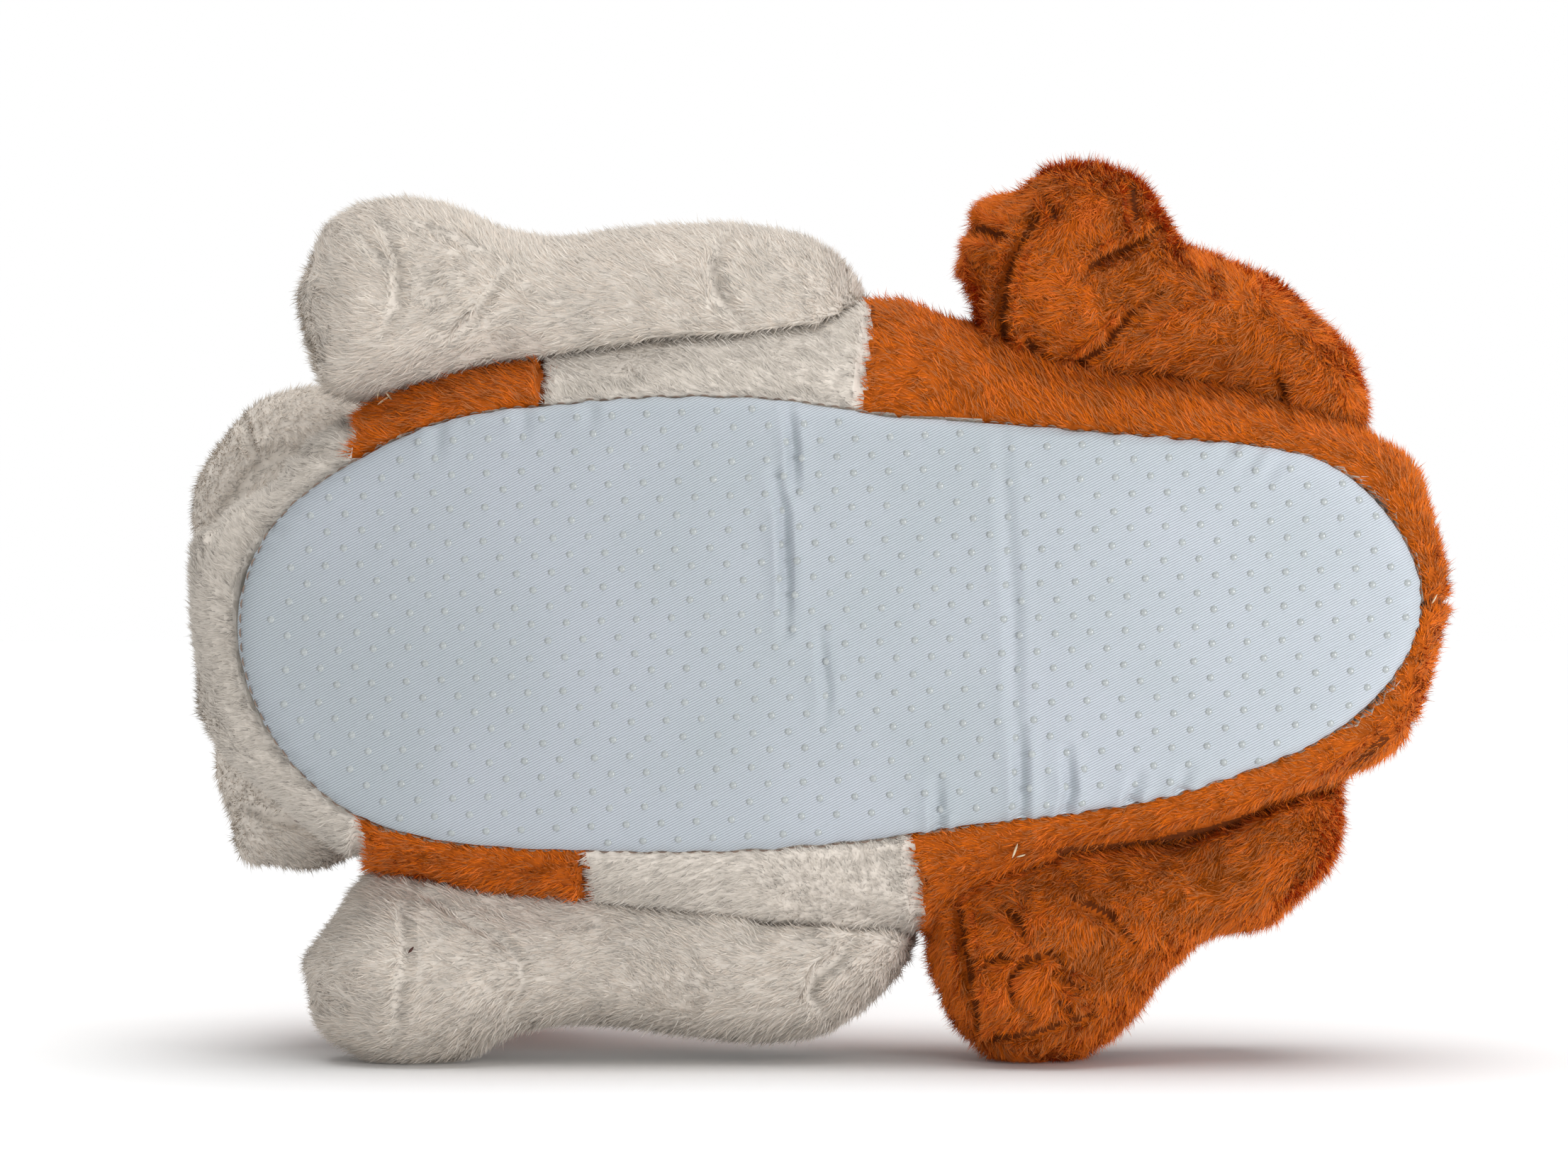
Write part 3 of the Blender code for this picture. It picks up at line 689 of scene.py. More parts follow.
def sample_skins(skins, count, generator, keep):
    """Random roots over the skins, denser where the sole's side is seen, with their normals."""
    corners, corner_normals = [], []
    for skin in skins:
        points, outward = coordinates(skin.data), normals(skin.data)
        faces = triangles_of(skin.data)
        corners.append(points[faces])
        corner_normals.append(outward[faces])
    corners, corner_normals = np.concatenate(corners), np.concatenate(corner_normals)
    cross = np.cross(corners[:, 1] - corners[:, 0], corners[:, 2] - corners[:, 0])
    area = np.linalg.norm(cross, axis=1) / 2
    facing = smooth_step(-unit(cross)[:, 1], -0.5, 0.2)
    weight = area * (1 + 0.9 * facing)
    if keep is not None:
        weight = weight * keep(corners.mean(1), unit(corner_normals.mean(1)))
    chosen = generator.choice(len(weight), count, p=weight / weight.sum())
    a, b = generator.random(count), generator.random(count)
    over = a + b > 1
    a[over], b[over] = 1 - a[over], 1 - b[over]
    shares = np.stack([1 - a - b, a, b], 1)[:, :, None]
    roots = (corners[chosen] * shares).sum(1)
    outward = unit((corner_normals[chosen] * shares).sum(1))
    return roots, outward


def grow_pile(name, skins, tones, count, nap, seed, keep=None, length=1.0, lean=0.66,
              folds=(), hollows=(), contrast=0.16, clump=0.5, parting=0.3,
              edge_light=0.0):
    """Short fibres, one thin face each, that lie along the nap in small tufts and part at the folds."""
    plush = bpy.context.scene.slipper_plush
    generator = np.random.default_rng(plush.seed * 1000 + seed)
    roots, outward = sample_skins(skins, count, generator, keep)
    tuft = drift(roots, 0.0026, seed + 11)
    sweep = drift(roots, 0.018, seed + 23)
    parted, away = fold_nearness(roots, outward, folds)
    flow = unit(np.array([nap]))[0] + 0.8 * sweep + clump * tuft + 2.0 * parting * away
    flow -= outward * np.sum(flow * outward, axis=1)[:, None]
    stray = generator.normal(0, 0.17, (count, 3))
    way = unit(outward * (1 - lean) + unit(flow) * lean + stray)
    rise = np.sum(way * outward, axis=1)
    way = unit(way + outward * np.maximum(0.18 - rise, 0)[:, None])
    reach = plush.pile_length * length * generator.uniform(0.7, 1.2, count) * (1 - parting * parted)
    width = plush.pile_width * generator.uniform(0.7, 1.35, count)
    facing = outward + smooth_step(-outward[:, 1], -0.7, 0.0)[:, None] * SEEN_SIDE
    side = unit(np.cross(way, unit(facing)) + generator.normal(0, 0.2, (count, 3)))
    root = roots - outward * 0.0005
    tip = root + way * reach[:, None]
    tip[:, 2] = np.maximum(tip[:, 2], 0.0003)
    left, right = root - side * width[:, None] / 2, root + side * width[:, None] / 2
    flat = unit(np.cross(right - left, tip - left))
    turned = np.sum(flat * facing, axis=1) < 0
    flat[turned] *= -1
    left[turned], right[turned] = right[turned], left[turned]
    points = np.stack([left, right, tip], 1).reshape(-1, 3)
    points[:, 2] = np.maximum(points[:, 2], 0.0002)
    shade = unit(outward + 0.8 * flat + 0.3 * way + generator.normal(0, 0.14, (count, 3)))
    mesh = bpy.data.meshes.new(name)
    mesh.vertices.add(count * 3)
    mesh.vertices.foreach_set("co", points.astype(np.float32).ravel())
    mesh.loops.add(count * 3)
    mesh.loops.foreach_set("vertex_index", np.arange(count * 3, dtype=np.int32))
    mesh.polygons.add(count)
    mesh.polygons.foreach_set("loop_start", np.arange(0, count * 3, 3, dtype=np.int32))
    for tone in tones:
        mesh.materials.append(material(tone.name))
    level = 0.5 + contrast * (tuft[:, 1] + 0.3 * sweep[:, 1]) + generator.normal(0, 0.2, count)
    # Painted shade: darker tones in the bottom of folds and in hollows; painted light: lighter tones on
    # swellings.
    level -= 0.6 * parted + 0.8 * contrast * hollow_shade(roots, hollows)
    # Painted light: lighter tones where the surface is seen edge-on from the front, along the outline.
    level += edge_light * (1 - smooth_step(np.abs(outward[:, 1]), 0.1, 0.7))
    index = np.clip((level * len(tones)).astype(int), 0, len(tones) - 1)
    mesh.polygons.foreach_set("material_index", index.astype(np.int32))
    mesh.update(calc_edges=True)
    mesh.polygons.foreach_set("use_smooth", np.ones(count, bool))
    mesh.normals_split_custom_set_from_vertices(np.repeat(shade, 3, axis=0))
    piece = new_object(name, mesh)
    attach(piece, "root")
    return piece


# Sole


def hit_tree(piece):
    graph = bpy.context.evaluated_depsgraph_get()
    return BVHTree.FromObject(piece, graph)


def sole_edge(piece, height, count):
    """The sole's outline at a height over the tread, evenly by angle, as points."""
    tree = hit_tree(piece)
    level = TREAD + height
    centre = Vector((MID_LENGTH, level, MID_WIDTH))
    points = []
    for step in range(count):
        angle = 2 * math.pi * step / count
        way = Vector((math.cos(angle), 0, 0.38 * math.sin(angle))).normalized()
        hit = tree.ray_cast(centre + way * 0.3, -way)[0]
        if hit:
            points.append(hit)
    return points


def even_route(points, pitch):
    """Points at an even pitch along a closed line."""
    ring = np.array([tuple(p) for p in points])
    ring = np.vstack([ring, ring[:1]])
    runs = np.concatenate([[0], np.cumsum(np.linalg.norm(np.diff(ring, axis=0), axis=1))])
    count = int(runs[-1] / pitch)
    stops = np.linspace(0, runs[-1], count, endpoint=False)
    return np.stack([np.interp(stops, runs, ring[:, axis]) for axis in range(3)], 1)


def sole_material():
    sole = bpy.context.scene.slipper_sole
    cloth, tree, shader = principled("sole_cloth", sole.cloth, 0.62, 0.25)
    coords = tree.nodes.new("ShaderNodeTexCoord")
    turn = tree.nodes.new("ShaderNodeMapping")
    turn.inputs["Rotation"].default_value = (0, math.pi / 2 + sole.twill_angle, 0)
    ribs = tree.nodes.new("ShaderNodeTexWave")
    ribs.inputs["Scale"].default_value = math.pi / 10 / sole.twill_pitch
    ribs.inputs["Distortion"].default_value = 0.6
    ribs.inputs["Detail"].default_value = 2
    ribs.inputs["Detail Scale"].default_value = 3
    ramp = tree.nodes.new("ShaderNodeValToRGB")
    ramp.color_ramp.elements[0].position = 0.15
    ramp.color_ramp.elements[1].position = 0.75
    ramp.color_ramp.elements[0].color = (*scaled(sole.cloth, 0.74), 1)
    ramp.color_ramp.elements[1].color = (*scaled(sole.cloth, 1.16), 1)
    blotch = tree.nodes.new("ShaderNodeTexNoise")
    blotch.inputs["Scale"].default_value = 26
    blotch.inputs["Detail"].default_value = 5
    soil = tree.nodes.new("ShaderNodeMix")
    soil.data_type = "RGBA"
    soil.blend_type = "MULTIPLY"
    soil.inputs["Factor"].default_value = 1
    tint = tree.nodes.new("ShaderNodeValToRGB")
    tint.color_ramp.elements[0].position = 0.35
    tint.color_ramp.elements[1].position = 0.65
    tint.color_ramp.elements[0].color = (0.93, 0.95, 0.93, 1)
    tint.color_ramp.elements[1].color = (1, 1, 1, 1)
    split = tree.nodes.new("ShaderNodeSeparateXYZ")
    # Painted light and shade along the foot: the cloth's colour is scaled from 0.92 at the toe to 1.08 at
    # the heel, so it is darker towards the toe and lighter towards the heel.
    painted_light_ramp = tree.nodes.new("ShaderNodeMapRange")
    painted_light_ramp.inputs["From Min"].default_value = SOLE_LOW.x
    painted_light_ramp.inputs["From Max"].default_value = SOLE_HIGH.x
    painted_light_ramp.inputs["To Min"].default_value = 0.92
    painted_light_ramp.inputs["To Max"].default_value = 1.08
    painted_light_scale = tree.nodes.new("ShaderNodeVectorMath")
    painted_light_scale.operation = "SCALE"
    tree.links.new(coords.outputs["Object"], split.inputs["Vector"])
    tree.links.new(split.outputs["X"], painted_light_ramp.inputs["Value"])
    tree.links.new(coords.outputs["Object"], turn.inputs["Vector"])
    tree.links.new(turn.outputs["Vector"], ribs.inputs["Vector"])
    tree.links.new(coords.outputs["Object"], blotch.inputs["Vector"])
    tree.links.new(ribs.outputs["Fac"], ramp.inputs["Fac"])
    tree.links.new(blotch.outputs["Fac"], tint.inputs["Fac"])
    tree.links.new(ramp.outputs["Color"], soil.inputs["A"])
    tree.links.new(tint.outputs["Color"], soil.inputs["B"])
    tree.links.new(soil.outputs["Result"], painted_light_scale.inputs["Vector"])
    tree.links.new(painted_light_ramp.outputs["Result"], painted_light_scale.inputs["Scale"])
    tree.links.new(painted_light_scale.outputs["Vector"], shader.inputs["Base Color"])
    bumped(tree, shader, ribs.outputs["Fac"], 0.55, 0.00012)
    return cloth


def add_domes(name, places, radius, height, surface):
    """Raised dots as one joined mesh, each seated on the cloth under it."""
    sides, rings = 8, 3
    tree = hit_tree(surface)
    points, faces = [], []
    for along, up in places:
        hit, normal = tree.ray_cast(Vector((along, TREAD - 0.05, up)), Vector((0, 1, 0)))[:2]
        if hit is None:
            continue
        first = len(points)
        for ring in range(rings):
            angle = ring / rings * math.pi / 2
            reach, rise = radius * math.cos(angle), height * math.sin(angle)
            for side in range(sides):
                turn = 2 * math.pi * side / sides
                points.append((hit.x + reach * math.cos(turn),
                               hit.y + 0.0001 - rise * 1.2,
                               hit.z + reach * math.sin(turn)))
        points.append((hit.x, hit.y + 0.0001 - height * 1.2, hit.z))
        top = len(points) - 1
        for ring in range(rings - 1):
            for side in range(sides):
                a = first + ring * sides + side
                b = first + ring * sides + (side + 1) % sides
                faces.append((a, b, b + sides, a + sides))
        for side in range(sides):
            a = first + (rings - 1) * sides + side
            b = first + (rings - 1) * sides + (side + 1) % sides
            faces.append((a, b, top))
    mesh = bpy.data.meshes.new(name)
    mesh.from_pydata(points, [], faces)
    mesh.shade_smooth()
    return new_object(name, mesh)


def dot_places(edge, sole):
    """The lattice of dots that lies inside the sole's edge, less its bare border."""
    outline = np.array([(p.x, p.z) for p in edge])
    centre = np.array([MID_LENGTH, MID_WIDTH])
    around = np.arctan2(outline[:, 1] - centre[1], outline[:, 0] - centre[0])
    reach = np.linalg.norm(outline - centre, axis=1)
    order = np.argsort(around)
    around, reach = around[order], reach[order]
    cosine, sine = math.cos(sole.row_tilt), math.sin(sole.row_tilt)
    found = []
    for row in range(-16, 17):
        for column in range(-20, 21):
            u = (column + 0.5 * (row % 2)) * sole.dot_pitch
            v = row * sole.row_pitch
            spot = np.array([u * cosine + v * 0.05, u * sine + v * cosine])
            angle = math.atan2(spot[1], spot[0])
            room = np.interp(angle, around, reach, period=2 * math.pi)
            if np.linalg.norm(spot) < room - sole.dot_margin - sole.dot_width / 2:
                found.append(tuple(centre + spot))
    return found


def add_stitches(name, spots, ways, out, lengths, thicks):
    """Short threads as one joined mesh of small bent capsules."""
    sides, stops = 5, 5
    points, faces = [], []
    for spot, way, up, length, thick in zip(spots, ways, out, lengths, thicks):
        across = np.cross(way, up)
        first = len(points)
        for stop in range(stops):
            share = stop / (stops - 1) * 2 - 1
            bulk = thick * math.sqrt(max(0.06, 1 - share * share))
            middle = spot + way * share * length / 2 + up * (0.10 * length * (1 - share * share))
            for side in range(sides):
                turn = 2 * math.pi * side / sides
                points.append(tuple(middle + across * bulk * math.cos(turn) + up * bulk * math.sin(turn)))
        for stop in range(stops - 1):
            for side in range(sides):
                a = first + stop * sides + side
                b = first + stop * sides + (side + 1) % sides
                faces.append((a, b, b + sides, a + sides))
        faces.append(tuple(first + side for side in reversed(range(sides))))
        faces.append(tuple(first + (stops - 1) * sides + side for side in range(sides)))
    mesh = bpy.data.meshes.new(name)
    mesh.from_pydata(points, [], faces)
    mesh.shade_smooth()
    return new_object(name, mesh)


class SLIPPER_OT_sole(bpy.types.Operator):
    """Make the sole cloth with its folds, raised dots and seam"""

    bl_idname = "slipper.sole"
    bl_label = "Sole"

    def execute(self, context):
        sole = context.scene.slipper_sole
        piece = skin_of("sole", "sole_cloth", sole.cell, 3)
        divide_edge(piece)
        press_folds(piece, SOLE_FOLDS, below=TREAD + 0.006)
        pucker_edge(piece)
        piece.data.materials.clear()
        piece.data.materials.append(sole_material())
        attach(piece, "root")
        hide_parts("sole")
        rubber, tree, shader = principled("anti_slip_dots", sole.dot_colour, 0.3)
        shader.inputs["Specular IOR Level"].default_value = 0.5
        shader.inputs["Coat Weight"].default_value = 0.35
        shader.inputs["Coat Roughness"].default_value = 0.22
        mottled(tree, shader, sole.dot_colour, 0.06, 60)
        edge = sole_edge(piece, 0.0035, 360)
        dots = add_domes("sole_dots", dot_places(edge, sole), sole.dot_width / 2, sole.dot_height, piece)
        dots.data.materials.append(rubber)
        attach(dots, "root")
        self.seam(piece, sole)
        return {"FINISHED"}

    def seam(self, piece, sole):
        """The line of stitches that holds the plush to the cloth."""
        edge = even_route(sole_edge(piece, 0.0052, 480), sole.stitch_pitch)
        ways = unit(np.roll(edge, -1, 0) - np.roll(edge, 1, 0))
        out = unit(np.cross(ways, np.array([0.0, 1.0, 0.0])))
        centre = np.array([MID_LENGTH, TREAD, MID_WIDTH])
        out *= np.sign(np.sum(out * (edge - centre), axis=1))[:, None]
        thread, tree, shader = principled("seam_thread", linear(122, 104, 92), 0.7, 0.3)
        mottled(tree, shader, linear(122, 104, 92), 0.25, 300)
        lengths, thicks = [sole.stitch_pitch * 0.66] * len(edge), [0.00022] * len(edge)
        piece = add_stitches("sole_seam", edge + out * 0.0003, ways, out, lengths, thicks)
        piece.data.materials.append(thread)
        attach(piece, "root")


def divide_edge(piece):
    """Finer faces on the sole's side, for its gathers."""
    form = bmesh.new()
    form.from_mesh(piece.data)
    side = [vert.normal.y > -0.93 and vert.co.y < TREAD + 0.008 for vert in form.verts]
    edges = [edge for edge in form.edges if side[edge.verts[0].index] or side[edge.verts[1].index]]
    bmesh.ops.subdivide_edges(form, edges=edges, cuts=1, use_grid_fill=True)
    form.to_mesh(piece.data)
    form.free()


def pucker_edge(piece):
    """Small gathers where the cloth is drawn over the sole's edge."""
    points, outward = coordinates(piece.data), normals(piece.data)
    side = smooth_step(points[:, 1], TREAD + 0.0008, TREAD + 0.0035)
    side *= 1 - smooth_step(points[:, 1], TREAD + 0.006, TREAD + 0.008)
    angle = np.arctan2((points[:, 2] - MID_WIDTH) / 0.38, points[:, 0] - MID_LENGTH)
    wave = np.sin(angle * 97 + 2.1 * np.sin(angle * 13)) * (0.5 + 0.5 * np.sin(angle * 7 + 1))
    place(piece.data, points + outward * (0.00022 * side * wave)[:, None])


# Plush pieces


def side_of(points):
    """+1 on the wearer's left and -1 on the right."""
    return np.where(points[:, 2] > MID_WIDTH, 1, -1)


def is_brown(points):
    """Which colour the upper's plush has at each point."""
    along = (points[:, 0] - MID_LENGTH) / MM
    across = np.abs(points[:, 2] - MID_WIDTH) / MM
    height = (points[:, 1] - TREAD) / MM
    brown = np.zeros(len(points), bool)
    for sign, changes in ((1, LEFT_CHANGES), (-1, RIGHT_CHANGES)):
        here = side_of(points) == sign
        ends = [c.along + c.slant * np.clip(across - 46, -10, 22) for c in changes]
        first = (along > ends[0]) & (along < ends[1])
        heel = along > ends[2]
        over = (height > PANEL_TOP + 6 * np.sin(along / 16)) & (along > ends[0])
        brown |= here & (first | heel | over)
    return brown


def spine_side(points, outward):
    """Positive where a surface faces the inside of the shoe."""
    spine = points.copy()
    spine[:, 0] = np.clip(points[:, 0], MID_LENGTH - 0.108, MID_LENGTH + 0.104)
    spine[:, 1] = TREAD + 0.036
    spine[:, 2] = MID_WIDTH
    return np.sum(outward * unit(spine - points), axis=1)


def paint_crease_shade(piece, folds, offset):
    """Paints shade into the bottom of folds: gives those faces a material further on in the piece's list."""
    mesh = piece.data
    centres, outward = np.empty(len(mesh.polygons) * 3), np.empty(len(mesh.polygons) * 3)
    mesh.polygons.foreach_get("center", centres)
    mesh.polygons.foreach_get("normal", outward)
    centres, outward = centres.reshape(-1, 3), outward.reshape(-1, 3)
    deep = np.zeros(len(centres), bool)
    for fold in folds:
        if fold.depth > 0:
            deep |= route_distance(centres, fold.route)[0] < 0.6 * fold.width * MM
    deep &= outward[:, 1] < 0.15
    index = np.empty(len(centres), np.int32)
    mesh.polygons.foreach_get("material_index", index)
    index[deep] += offset
    mesh.polygons.foreach_set("material_index", index)
    mesh.update()


def finish_skin(piece, node, backing):
    piece.data.materials.clear()
    for name in backing:
        piece.data.materials.append(material(name))
    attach(piece, "root")
    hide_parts(node)


# Backings for each colour, then the same for the bottom of folds, where the brown one is painted crease
# shade.
UPPER_BACKING = (
    "backing_brown", "backing_cream", "backing_lining", "painted_crease_shade_brown", "backing_cream", "backing_lining")


class SLIPPER_OT_upper(bpy.types.Operator):
    """Make the padded upper in brown and cream plush, with its lining"""

    bl_idname = "slipper.upper"
    bl_label = "Upper"

    def execute(self, context):
        plush = context.scene.slipper_plush
        piece = skin_of("upper", "upper_shell", plush.cell, 5)
        rumple(piece, 0.0004, 0.018, 3)
        nudge(piece, UPPER_NUDGES)
        press_folds(piece, UPPER_FOLDS)
        draw_in(piece, "upper", plush.inset)
        finish_skin(piece, "upper", UPPER_BACKING)
        self.colour(piece)
        # Painted shade in the bottom of the upper's brown folds.
        paint_crease_shade(piece, UPPER_FOLDS, 3)
        outer = lambda p, n: spine_side(p, n) < 0.12
        brown = lambda p, n: outer(p, n) & is_brown(p)
        cream = lambda p, n: outer(p, n) & ~is_brown(p)
        lining = lambda p, n: ~outer(p, n)
        grow_pile("upper_pile_brown", [piece], BROWN_TONES, 112000, (-0.3, -0.1, 0.1), 1, brown,
                  length=0.75, folds=UPPER_FOLDS, contrast=0.26, clump=0.7,
                  parting=0.65, edge_light=0.12)
        grow_pile("upper_pile_cream", [piece], PANEL_TONES, 56000, (-0.3, -0.1, 0.1), 2, cream,
                  length=0.62, folds=UPPER_FOLDS)
        grow_pile("upper_lining_pile", [piece], LINING_TONES, 22000,
                  (0.2, 0.1, 0), 3, lining, length=0.8)
        return {"FINISHED"}

    def colour(self, piece):
        mesh = piece.data
        centres = np.empty(len(mesh.polygons) * 3)
        mesh.polygons.foreach_get("center", centres)
        centres = centres.reshape(-1, 3)
        outward = np.empty(len(mesh.polygons) * 3)
        mesh.polygons.foreach_get("normal", outward)
        index = np.where(is_brown(centres), 0, 1)
        index[spine_side(centres, outward.reshape(-1, 3)) >= 0.12] = 2
        mesh.polygons.foreach_set("material_index", index.astype(np.int32))
        mesh.update()


class SLIPPER_OT_insole(bpy.types.Operator):
    """Make the soft footbed inside the shoe"""

    bl_idname = "slipper.insole"
    bl_label = "Insole"

    def execute(self, context):
        piece = skin_of("insole", "insole_pad", 0.0030, 3)
        finish_skin(piece, "insole", ("backing_lining",))
        top = lambda p, n: n[:, 1] > 0.3
        grow_pile("insole_pile", [piece], LINING_TONES, 14000, (0.5, 0, 0.1), 4,
                  top, length=0.7)
        return {"FINISHED"}


class SLIPPER_OT_front_legs(bpy.types.Operator):
    """Make the two stuffed cream front legs"""

    bl_idname = "slipper.front_legs"
    bl_label = "Front legs"

    def execute(self, context):
        plush = context.scene.slipper_plush
        skins = []
        sides = (
            ("left", FRONT_LEFT_NUDGES, FRONT_LEFT_FOLDS, FRONT_LEFT_HOLLOWS, 31),
            ("right", FRONT_RIGHT_NUDGES, FRONT_RIGHT_FOLDS, FRONT_RIGHT_HOLLOWS, 37),
        )
        for side, nudges, folds, hollows, seed in sides:
            piece = skin_of(f"front_leg_{side}", f"front_leg_{side}_cover", plush.cell * 0.9, 5)
            rumple(piece, 0.0008, 0.016, seed)
            nudge(piece, nudges)
            press_folds(piece, folds, hollows)
            draw_in(piece, f"front_leg_{side}", plush.inset)
            finish_skin(piece, f"front_leg_{side}", ("backing_cream",))
            skins.append(piece)
        grow_pile("front_legs_pile", skins, CREAM_TONES, 142000, (-0.5, -0.1, 0.1), 5,
                  length=0.70, folds=FRONT_LEFT_FOLDS + FRONT_RIGHT_FOLDS,
                  hollows=FRONT_LEFT_HOLLOWS + FRONT_RIGHT_HOLLOWS)
        return {"FINISHED"}


class SLIPPER_OT_hind_legs(bpy.types.Operator):
    """Make the two stuffed brown hind legs"""

    bl_idname = "slipper.hind_legs"
    bl_label = "Hind legs"

    def execute(self, context):
        plush = context.scene.slipper_plush
        skins = []
        sides = (
            ("left", HIND_LEFT_NUDGES, HIND_LEFT_FOLDS, HIND_LEFT_HOLLOWS, 41),
            ("right", HIND_RIGHT_NUDGES, HIND_RIGHT_FOLDS, HIND_RIGHT_HOLLOWS, 43),
        )
        for side, nudges, folds, hollows, seed in sides:
            piece = skin_of(f"hind_leg_{side}", f"hind_leg_{side}_cover", plush.cell * 0.9, 5)
            rumple(piece, 0.0010, 0.014, seed)
            nudge(piece, nudges)
            press_folds(piece, folds, hollows)
            draw_in(piece, f"hind_leg_{side}", plush.inset)
            finish_skin(piece, f"hind_leg_{side}", ("backing_brown", "painted_crease_shade_brown"))
            # Painted shade in the bottom of the leg's folds.
            paint_crease_shade(piece, folds, 1)
            skins.append(piece)
        grow_pile("hind_legs_pile", skins, BROWN_TONES, 170000, (-0.2, -0.3, -0.1), 6,
                  length=0.85, folds=HIND_LEFT_FOLDS + HIND_RIGHT_FOLDS,
                  hollows=HIND_LEFT_HOLLOWS + HIND_RIGHT_HOLLOWS, contrast=0.28, clump=0.8,
                  parting=0.65, edge_light=0.28)
        return {"FINISHED"}


class SLIPPER_OT_head(bpy.types.Operator):
    """Make the head, the muzzle and the drop ears"""

    bl_idname = "slipper.head"
    bl_label = "Head, muzzle and ears"

    def execute(self, context):
        plush = context.scene.slipper_plush
        head = skin_of("head", "head_cover", plush.cell, 4)
        rumple(head, 0.0006, 0.02, 51)
        draw_in(head, "head", plush.inset)
        finish_skin(head, "head", ("backing_brown",))
        ears = []
        for side in ("left", "right"):
            ear = skin_of(f"ear_{side}", f"ear_{side}_cover", plush.cell * 0.7, 4)
            draw_in(ear, f"ear_{side}", plush.inset)
            finish_skin(ear, f"ear_{side}", ("backing_brown",))
            ears.append(ear)
        muzzle = skin_of("muzzle", "muzzle_cover", plush.cell * 0.9, 4)
        rumple(muzzle, 0.0007, 0.015, 57)
        nudge(muzzle, MUZZLE_NUDGES)
        press_folds(muzzle, MUZZLE_FOLDS)
        draw_in(muzzle, "muzzle", plush.inset)
        finish_skin(muzzle, "muzzle", ("backing_cream",))
        grow_pile("head_pile", [head, *ears], BROWN_TONES, 66000, (0.6, 0.1, 0), 8,
                  length=0.8, contrast=0.26, clump=0.7, edge_light=0.12)
        grow_pile("muzzle_pile", [muzzle], CREAM_TONES, 56000, (0.4, -0.2, 0), 9,
                  length=0.60, folds=MUZZLE_FOLDS)
        return {"FINISHED"}


class SLIPPER_OT_face(bpy.types.Operator):
    """Make the padded nose and the two glossy eyes"""

    bl_idname = "slipper.face"
    bl_label = "Nose and eyes"

    def execute(self, context):
        nose = skin_of("nose", "nose_pad", 0.0012, 6)
        cloth, tree, shader = principled("nose_velvet", linear(38, 28, 26), 0.75, 0.5)
        coords, noise = mottled(tree, shader, linear(42, 31, 28), 0.2, 900)
        bumped(tree, shader, noise.outputs["Fac"], 0.5, 0.0003)
        nose.data.materials.clear()
        nose.data.materials.append(cloth)
        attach(nose, "root")
        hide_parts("nose")
        plastic, tree, shader = principled("eye_gloss", linear(22, 15, 12), 0.12)
        shader.inputs["Specular IOR Level"].default_value = 0.5
        shader.inputs["Coat Weight"].default_value = 0.6
        mottled(tree, shader, linear(24, 16, 12), 0.12, 200)
        for side in ("left", "right"):
            eye = skin_of(f"eye_{side}", f"eye_{side}_button", 0.0008, 4)
            eye.data.materials.clear()
            eye.data.materials.append(plastic)
            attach(eye, "root")
            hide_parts(f"eye_{side}")
        return {"FINISHED"}


class SLIPPER_OT_threads(bpy.types.Operator):
    """Lay the few loose thread ends and marks on the plush"""

    bl_idname = "slipper.threads"
    bl_label = "Loose threads"

    def execute(self, context):
        covers = [piece for piece in context.scene.objects if piece.name.endswith(("_cover", "_shell"))]
        trees = [hit_tree(piece) for piece in covers]
        self.lay("loose_threads_pale", PALE_THREADS, trees, linear(214, 196, 164), "plush_cream")
        self.lay("loose_threads_dark", DARK_THREADS, trees, linear(70, 42, 36), "plush_brown")
        return {"FINISHED"}

    def lay(self, name, threads, trees, colour, slot):
        eye = Vector((EYE[0], TREAD - EYE_DISTANCE, EYE[1]))
        spots, ways = [], []
        for thread in threads:
            along, up = seen(thread.along, thread.across)
            sight = (Vector((along, TREAD, up)) - eye).normalized()
            hits = [hit for hit in (tree.ray_cast(eye, sight) for tree in trees) if hit[0]]
            if not hits:
                raise ValueError(f"No plush lies behind the thread at {thread.along}, {thread.across}")
            near = min(hits, key=lambda hit: hit[3])[0]
            spots.append(np.array(near - sight * 0.0022))
            turn = math.radians(thread.turn)
            ways.append(np.array([math.cos(turn), 0.0, math.sin(turn)]))
        out = [SEEN_SIDE] * len(threads)
        lengths = [thread.length * MM for thread in threads]
        thicks = [thread.thick * MM for thread in threads]
        piece = add_stitches(name, spots, ways, out, lengths, thicks)
        cotton, tree, shader = principled(name, colour, 0.7, 0.2)
        mottled(tree, shader, colour, 0.2, 400)
        piece.data.materials.append(cotton)
        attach(piece, "root")


class SLIPPER_OT_materials(bpy.types.Operator):
    """Make the plush materials that the pieces share"""

    bl_idname = "slipper.materials"
    bl_label = "Plush materials"

    def execute(self, context):
        make_plush_materials()
        return {"FINISHED"}


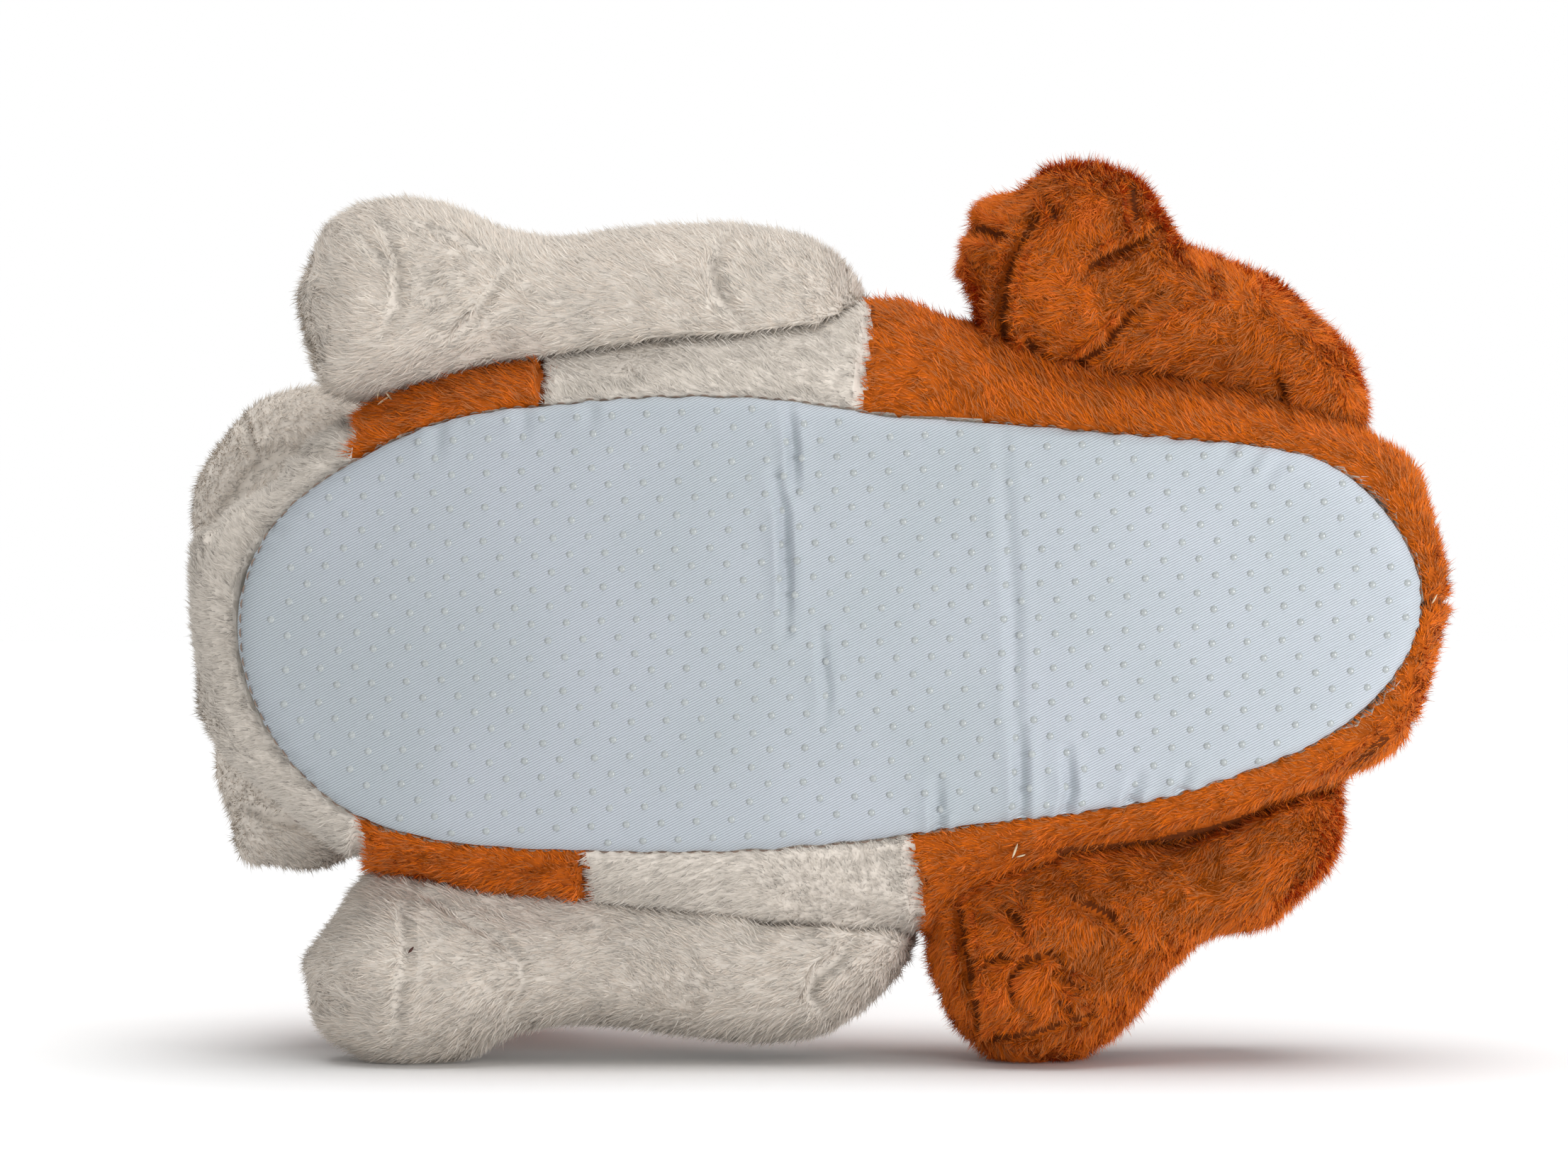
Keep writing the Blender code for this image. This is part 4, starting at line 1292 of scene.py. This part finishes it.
class SLIPPER_OT_stage(bpy.types.Operator):
    """Set up the camera, the pale floor and the soft lights"""

    bl_idname = "slipper.stage"
    bl_label = "Stage"

    def execute(self, context):
        studio = context.scene.slipper_studio
        self.camera(context, studio)
        self.floor()
        self.world(context, studio)
        self.lamps(context, studio)
        return {"FINISHED"}

    def camera(self, context, studio):
        data = bpy.data.cameras.new("camera")
        data.sensor_width = 36
        data.lens = data.sensor_width * studio.distance / studio.width
        data.clip_start, data.clip_end = 0.05, 20
        camera = bpy.data.objects.new("camera", data)
        camera.location = (studio.across, TREAD - studio.distance, studio.height)
        camera.rotation_euler = (math.pi / 2, 0, 0)
        context.scene.collection.objects.link(camera)
        context.scene.camera = camera
        context.scene.view_settings.view_transform = "Standard"

    def floor(self):
        """A wide flat floor, nearly as white as the surroundings."""
        half = 8.0
        mesh = bpy.data.meshes.new("floor")
        corners = [(-half, -half, 0), (half, -half, 0), (half, half, 0), (-half, half, 0)]
        mesh.from_pydata(corners, [], [(0, 1, 2, 3)])
        floor = new_object("floor", mesh)
        paper, tree, shader = principled("floor_paper", (0.93, 0.93, 0.93), 0.9)
        mottled(tree, shader, (0.93, 0.93, 0.93), 0.006, 3)
        floor.data.materials.append(paper)

    def world(self, context, studio):
        """Even light all round, which itself looks white."""
        world = context.scene.world or bpy.data.worlds.new("studio")
        context.scene.world = world
        world.use_nodes = True
        nodes, links = world.node_tree.nodes, world.node_tree.links
        sky = nodes["Background"]
        sky.inputs["Color"].default_value = (1, 1, 1, 1)
        seen_ray = nodes.new("ShaderNodeLightPath")
        strength = nodes.new("ShaderNodeMapRange")
        strength.inputs["To Min"].default_value = studio.sky
        strength.inputs["To Max"].default_value = 1.0
        links.new(seen_ray.outputs["Is Camera Ray"], strength.inputs["Value"])
        links.new(strength.outputs["Result"], sky.inputs["Strength"])

    def lamps(self, context, studio):
        lamps = (
            ("key", (0.55, -0.66, 0.06), 0.35, studio.key),
            ("fill", (-0.45, -1.25, 0.10), 0.5, studio.fill),
        )
        for name, spot, size, power in lamps:
            data = bpy.data.lights.new(name, "AREA")
            data.shape = "DISK"
            data.size = size
            data.energy = power
            lamp = bpy.data.objects.new(name, data)
            lamp.location = spot
            aim = Vector((0, 0, 0.1)) - Vector(spot)
            lamp.rotation_euler = aim.to_track_quat("-Z", "Y").to_euler()
            context.scene.collection.objects.link(lamp)
        data = bpy.data.lights.new("overhead", "SUN")
        data.energy = studio.overhead
        data.angle = math.radians(50)
        context.scene.collection.objects.link(bpy.data.objects.new("overhead", data))


OPERATORS = (
    SLIPPER_OT_stage,
    SLIPPER_OT_materials,
    SLIPPER_OT_sole,
    SLIPPER_OT_insole,
    SLIPPER_OT_upper,
    SLIPPER_OT_front_legs,
    SLIPPER_OT_hind_legs,
    SLIPPER_OT_head,
    SLIPPER_OT_face,
    SLIPPER_OT_threads,
)


class SLIPPER_PT_sidebar(bpy.types.Panel):
    """Lists the slipper's pieces and settings in the sidebar"""

    bl_label = "Plush slipper"
    bl_idname = "SLIPPER_PT_sidebar"
    bl_space_type = "VIEW_3D"
    bl_region_type = "UI"
    bl_category = "Slipper"

    def draw(self, context):
        for operator in OPERATORS:
            self.layout.operator(operator.bl_idname)
        for group in (context.scene.slipper_plush, context.scene.slipper_sole, context.scene.slipper_studio):
            box = self.layout.box()
            for name in group.bl_rna.properties.keys():
                if name not in ("rna_type", "name"):
                    box.prop(group, name)


CLASSES = (SlipperPlush, SlipperSole, SlipperStudio, *OPERATORS, SLIPPER_PT_sidebar)


def register():
    for entry in CLASSES:
        bpy.utils.register_class(entry)
    bpy.types.Scene.slipper_plush = PointerProperty(type=SlipperPlush)
    bpy.types.Scene.slipper_sole = PointerProperty(type=SlipperSole)
    bpy.types.Scene.slipper_studio = PointerProperty(type=SlipperStudio)


def unregister():
    del bpy.types.Scene.slipper_studio
    del bpy.types.Scene.slipper_sole
    del bpy.types.Scene.slipper_plush
    for entry in reversed(CLASSES):
        bpy.utils.unregister_class(entry)


def main():
    register()
    for operator in OPERATORS:
        group, name = operator.bl_idname.split(".")
        getattr(getattr(bpy.ops, group), name)()


if __name__ == "__main__":
    main()
